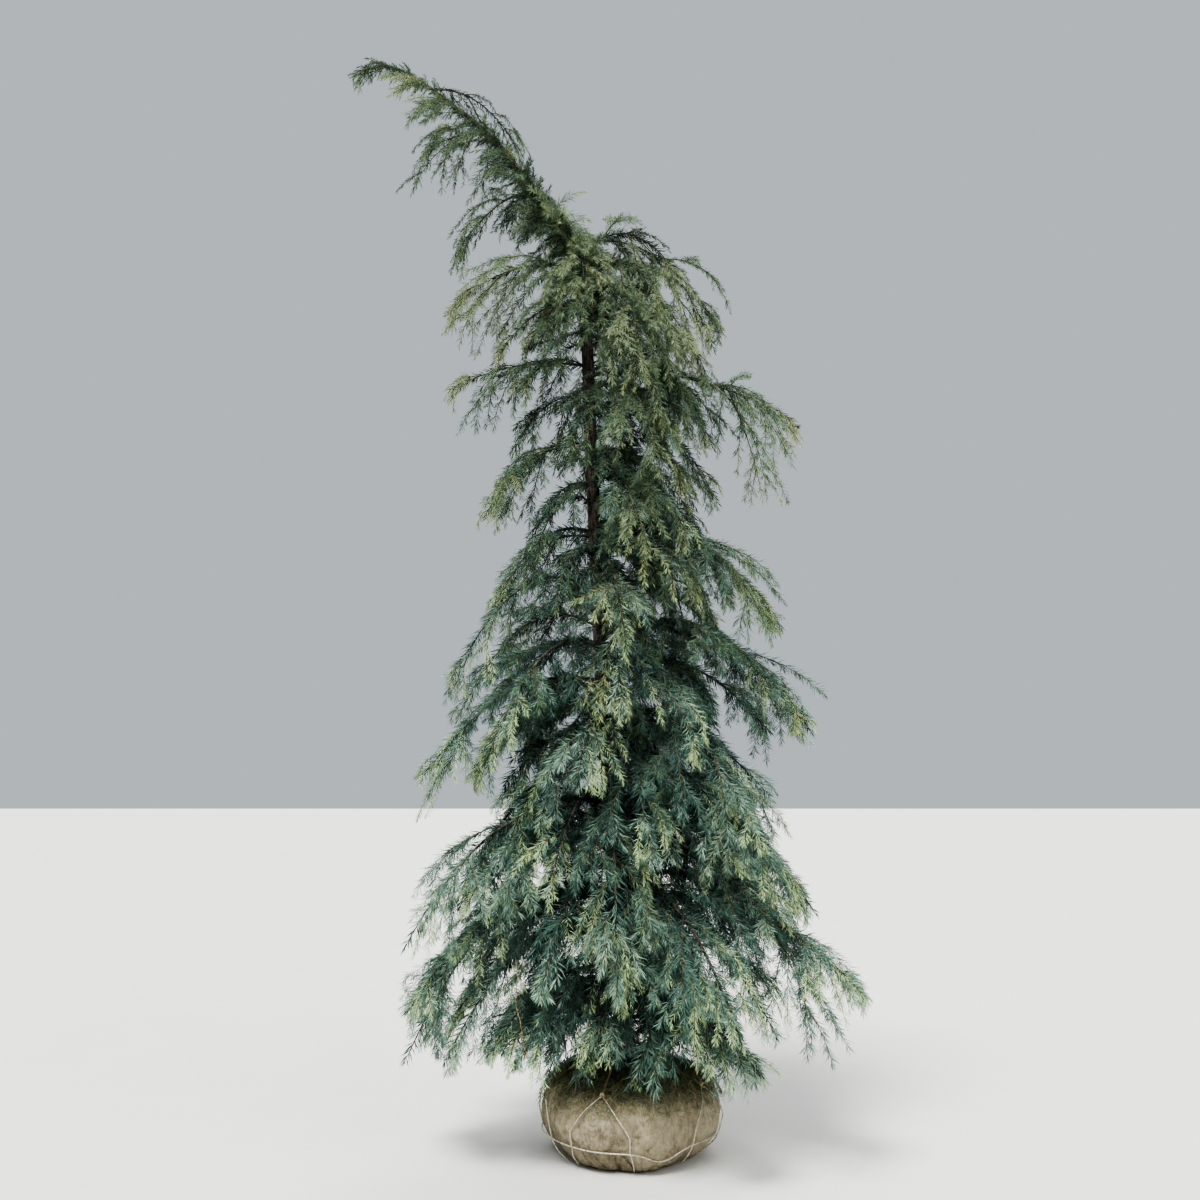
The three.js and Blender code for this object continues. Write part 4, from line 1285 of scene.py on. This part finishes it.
class CEDAR_OT_litter(bpy.types.Operator):
    """Strew fallen needles over the top of the root ball"""

    bl_idname = "cedar.litter"
    bl_label = "Fallen Needles"

    def execute(self, context):
        rng = np.random.default_rng(7)
        for name, (colour, count) in LITTER.items():
            turn = rng.uniform(0, 2 * np.pi, count)
            run = 1 - 0.47 * rng.beta(1.6, 2.2, count)
            radius, height = ball_surface(turn, run)
            foot = np.stack([radius * np.cos(turn), radius * np.sin(turn), height], axis=1)
            outward = unit(foot - [0, 0, 0.05])
            direction = unit(np.cross(outward, rng.normal(size=foot.shape)) + 0.12 * outward)
            foot = foot + outward * rng.uniform(0.0, 0.009, count)[:, None]
            size, wide = rng.uniform(0.022, 0.048, count), rng.uniform(0.0018, 0.0030, count)
            points, triangles = needles(foot, direction, size, wide, rng)
            points[:, 2] = np.maximum(points[:, 2], 0.001)
            finish = needle_finish("fallen_" + name, linear(colour), 0.05)
            finish_piece(array_piece("fallen_needles_" + name, points, triangles), finish)
        return {"FINISHED"}


def curve_piece(name, points, radius, closed=False):
    """A round bar along points: a path with a bevel, made a mesh."""
    deselect()
    bpy.ops.curve.primitive_nurbs_path_add()
    piece = active(name)
    curve = piece.data
    curve.splines.clear()
    spline = curve.splines.new("NURBS")
    spline.points.add(len(points) - 1)
    for target, point in zip(spline.points, points):
        target.co = (*point, 1)
    spline.order_u, spline.use_endpoint_u, spline.use_cyclic_u = 4, not closed, closed
    spline.resolution_u = 4
    curve.bevel_depth, curve.bevel_resolution, curve.use_fill_caps = radius, 2, True
    bpy.ops.object.convert(target="MESH")
    bpy.ops.object.shade_smooth()
    return active(name)


def join(pieces, name):
    deselect()
    for piece in pieces:
        piece.select_set(True)
    bpy.context.view_layer.objects.active = pieces[0]
    bpy.ops.object.join()
    return active(name)


def wire_loop(heading, thick):
    """One loop of the basket, up from the ball's foot to its top and down again."""
    left = [on_ball(heading - turn, z, clear) for turn, z, clear in LOOP_LEG]
    right = [on_ball(heading + turn, z, clear) for turn, z, clear in LOOP_LEG]
    points = [*left, on_ball(heading, *LOOP_TOP[1:]), *right[::-1]]
    fine = []
    for start, end in zip(points, points[1:]):
        fine += [start + (end - start) * part for part in (0, 0.3, 0.7)]
    return curve_piece("loop", [*fine, points[-1]], thick / 2)


class CEDAR_OT_basket(bpy.types.Operator):
    """Bend the wire basket: a ring round the ball, and loops that rise from under it"""

    bl_idname = "cedar.basket"
    bl_label = "Wire Basket"

    def execute(self, context):
        ball = context.scene.cedar_ball
        height, clearance = RING
        drop, middle, width = RING_DIP
        ring = []
        for step in range(72):
            dip = drop * math.exp(-((5 * step - middle) / width) ** 2)
            ring.append(on_ball(5 * step, height + 5 * math.sin(step * 0.35) - dip, clearance))
        pieces = [curve_piece("ring", ring, ball.wire / 2, True)]
        pieces += [wire_loop(heading, ball.wire) for heading in LOOP_HEADINGS]
        finish = Finish("galvanised_wire", linear("#d3cdbb"), Roughness=0.42, Metallic=0.55)
        grain = finish.grain(finish.place(), 90, 4)
        finish.mottled(grain, 0.35, "#a39b86", 0.6, "#dad5c6")
        dull = finish.add("MapRange", {"Value": grain, "To Min": 0.32, "To Max": 0.62})
        finish.link(dull.outputs["Result"], "Roughness")
        finish.bump(grain, 0.2, 0.0006)
        finish_piece(join(pieces, "basket_wire"), finish.material, ["wire_basket"])
        return {"FINISHED"}


def twisted(points, thick):
    """Three strands laid round each other along a line of points, as lines for tubes."""
    points = np.asarray(points, float)
    steps = np.concatenate([[0], np.cumsum(np.linalg.norm(np.diff(points, axis=0), axis=1))])
    count = max(12, int(steps[-1] / 0.0028))
    run = np.linspace(0, steps[-1], count)
    line = np.stack([np.interp(run, steps, points[:, i]) for i in range(3)], axis=1)
    along = unit(np.gradient(line, axis=0))
    across, above = sides_of(along)
    strands = []
    for strand in range(3):
        turn = 2 * np.pi * (run * LAY_TURNS + strand / 3)
        strands.append(line + 0.26 * thick * (np.cos(turn)[:, None] * across + np.sin(turn)[:, None] * above))
    return strands


def strand_mesh(strands, radius, sides=6):
    """One mesh of tubes of different lengths, narrowed at their start and pointed at their end."""
    points, triangles, start = [], [], 0
    for strand in strands:
        radii = np.full((1, len(strand)), radius)
        radii[0, 0] = 0.3 * radius
        more, faces = tubes(strand[None], radii, sides)
        points.append(more)
        triangles.append(faces + start)
        start += len(more)
    return np.concatenate(points), np.concatenate(triangles)


def wrap_strands(middle, thick):
    """The turns of rope round the foot of the trunk."""
    turn = np.linspace(0, WRAP_TURNS * 2 * np.pi, 320)
    climb = np.linspace(-WRAP_RISE, WRAP_RISE, len(turn)) + 0.0012 * np.sin(3.1 * turn)
    radius = 0.0438 + 0.0016 * np.sin(1.7 * turn)
    return twisted(middle + np.stack([radius * np.cos(turn), radius * np.sin(turn), climb], axis=1), thick)


def rope_strands(middle, heading, thick):
    """One rope from the trunk to the top of a wire loop, and its knot there."""
    top = on_ball(heading, *LOOP_TOP[1:])
    out = (top - middle) * [1, 1, 0]
    start = middle + unit(out) * 0.0455
    end = top + unit(top - start) * 0.004 + UP * 0.005
    part = np.linspace(0, 1, 9)
    line = start + (end - start) * part[:, None] - UP * (0.006 * np.sin(np.pi * part))[:, None]
    side, along = unit(np.cross(out, UP)), unit(end - start)
    turn = np.linspace(0, KNOT_TURNS * 2 * np.pi, 60)
    round_it = np.cos(turn)[:, None] * side + np.sin(turn)[:, None] * np.cross(side, along)
    knot = end - along * (0.006 - 0.0028 * turn / 6.3)[:, None] + 0.0068 * round_it
    return twisted(line, 0.9 * thick) + twisted(knot, 0.6 * thick)


class CEDAR_OT_ropes(bpy.types.Operator):
    """Lay the jute ropes: turns round the foot of the trunk, and one rope to each wire loop"""

    bl_idname = "cedar.ropes"
    bl_label = "Ropes"

    def execute(self, context):
        ball = context.scene.cedar_ball
        middle = trunk_at_height(WRAP_HEIGHT)
        strands = wrap_strands(middle, ball.rope)
        for heading in LOOP_HEADINGS:
            strands += rope_strands(middle, heading, ball.rope)
        looks = {"Roughness": 0.95, "Specular_IOR_Level": 0.15, "Sheen_Weight": 0.3}
        finish = Finish("jute_rope", linear("#c4ad7e"), **looks)
        fibre = finish.grain(finish.place(), 420, 5, 0.7)
        finish.mottled(fibre, 0.35, "#8d7650", 0.62, "#d3bf93")
        finish.bump(fibre, 0.5, 0.0008)
        piece = array_piece("jute_ropes", *strand_mesh(strands, 0.27 * ball.rope), True)
        finish_piece(piece, finish.material, ["ropes"])
        return {"FINISHED"}


class CEDAR_OT_stage(bpy.types.Operator):
    """Set the plain floor, the soft light and the camera at the photograph's viewing angle"""

    bl_idname = "cedar.stage"
    bl_label = "Floor, Light and Camera"

    def execute(self, context):
        stage = context.scene.cedar_stage
        deselect()
        bpy.ops.mesh.primitive_plane_add(size=60, location=(0, 0, -0.0005))
        floor = active("floor")
        finish = Finish("floor_paint", stage.floor, Roughness=0.9)
        worn = tuple(0.97 * part for part in stage.floor)
        pattern = finish.grain(finish.place(), 2.5, 3)
        finish.link(finish.ramp(pattern, [(0.3, worn), (0.7, stage.floor)]), "Base Color")
        floor.data.materials.append(finish.material)
        for name, (azimuth, height, share, angle) in LIGHTS.items():
            bpy.ops.object.light_add(type="SUN")
            light = active(name)
            light.data.energy, light.data.angle = share * stage.key, math.radians(angle)
            light.rotation_euler = (math.radians(90 - height), 0, math.radians(azimuth))
        world = bpy.data.worlds.new("sky")
        world.use_nodes = True
        background = world.node_tree.nodes["Background"].inputs
        background["Color"].default_value, background["Strength"].default_value = SKY_TINT, stage.sky
        context.scene.world = world
        level = (math.pi / 2 + stage.camera_pitch, 0, 0)
        bpy.ops.object.camera_add(location=(CAMERA_X, CAMERA_Y, stage.camera_height), rotation=level)
        camera = active("camera")
        camera.data.lens, camera.data.sensor_width = LENS, 36
        context.scene.camera = camera
        context.scene.view_settings.look = "AgX - High Contrast"
        return {"FINISHED"}


OPERATORS = (
    CEDAR_OT_trunk, CEDAR_OT_boughs, CEDAR_OT_needles, CEDAR_OT_root_ball, CEDAR_OT_litter, CEDAR_OT_basket,
    CEDAR_OT_ropes, CEDAR_OT_stage,
)
SETTINGS = {
    "cedar_stem": CedarStemSettings,
    "cedar_crown": CedarCrownSettings,
    "cedar_ball": CedarBallSettings,
    "cedar_stage": CedarStageSettings,
}


class CEDAR_PT_build(bpy.types.Panel):
    """Lists the steps that build the cedar"""

    bl_idname = "CEDAR_PT_build"
    bl_label = "Weeping Cedar"
    bl_space_type = "VIEW_3D"
    bl_region_type = "UI"
    bl_category = "Cedar"

    def draw(self, context):
        for operator in OPERATORS:
            self.layout.operator(operator.bl_idname)
        for group in SETTINGS:
            settings = getattr(context.scene, group)
            box = self.layout.box()
            for name in settings.__annotations__:
                box.prop(settings, name)


def register():
    for group in (*SETTINGS.values(), *OPERATORS, CEDAR_PT_build):
        bpy.utils.register_class(group)
    for name, group in SETTINGS.items():
        setattr(bpy.types.Scene, name, PointerProperty(type=group))


def unregister():
    for name in SETTINGS:
        delattr(bpy.types.Scene, name)
    for group in reversed((*SETTINGS.values(), *OPERATORS, CEDAR_PT_build)):
        bpy.utils.unregister_class(group)


def main():
    register()
    for operator in OPERATORS:
        group, step = operator.bl_idname.split(".")
        getattr(getattr(bpy.ops, group), step)()


if __name__ == "__main__":
    main()
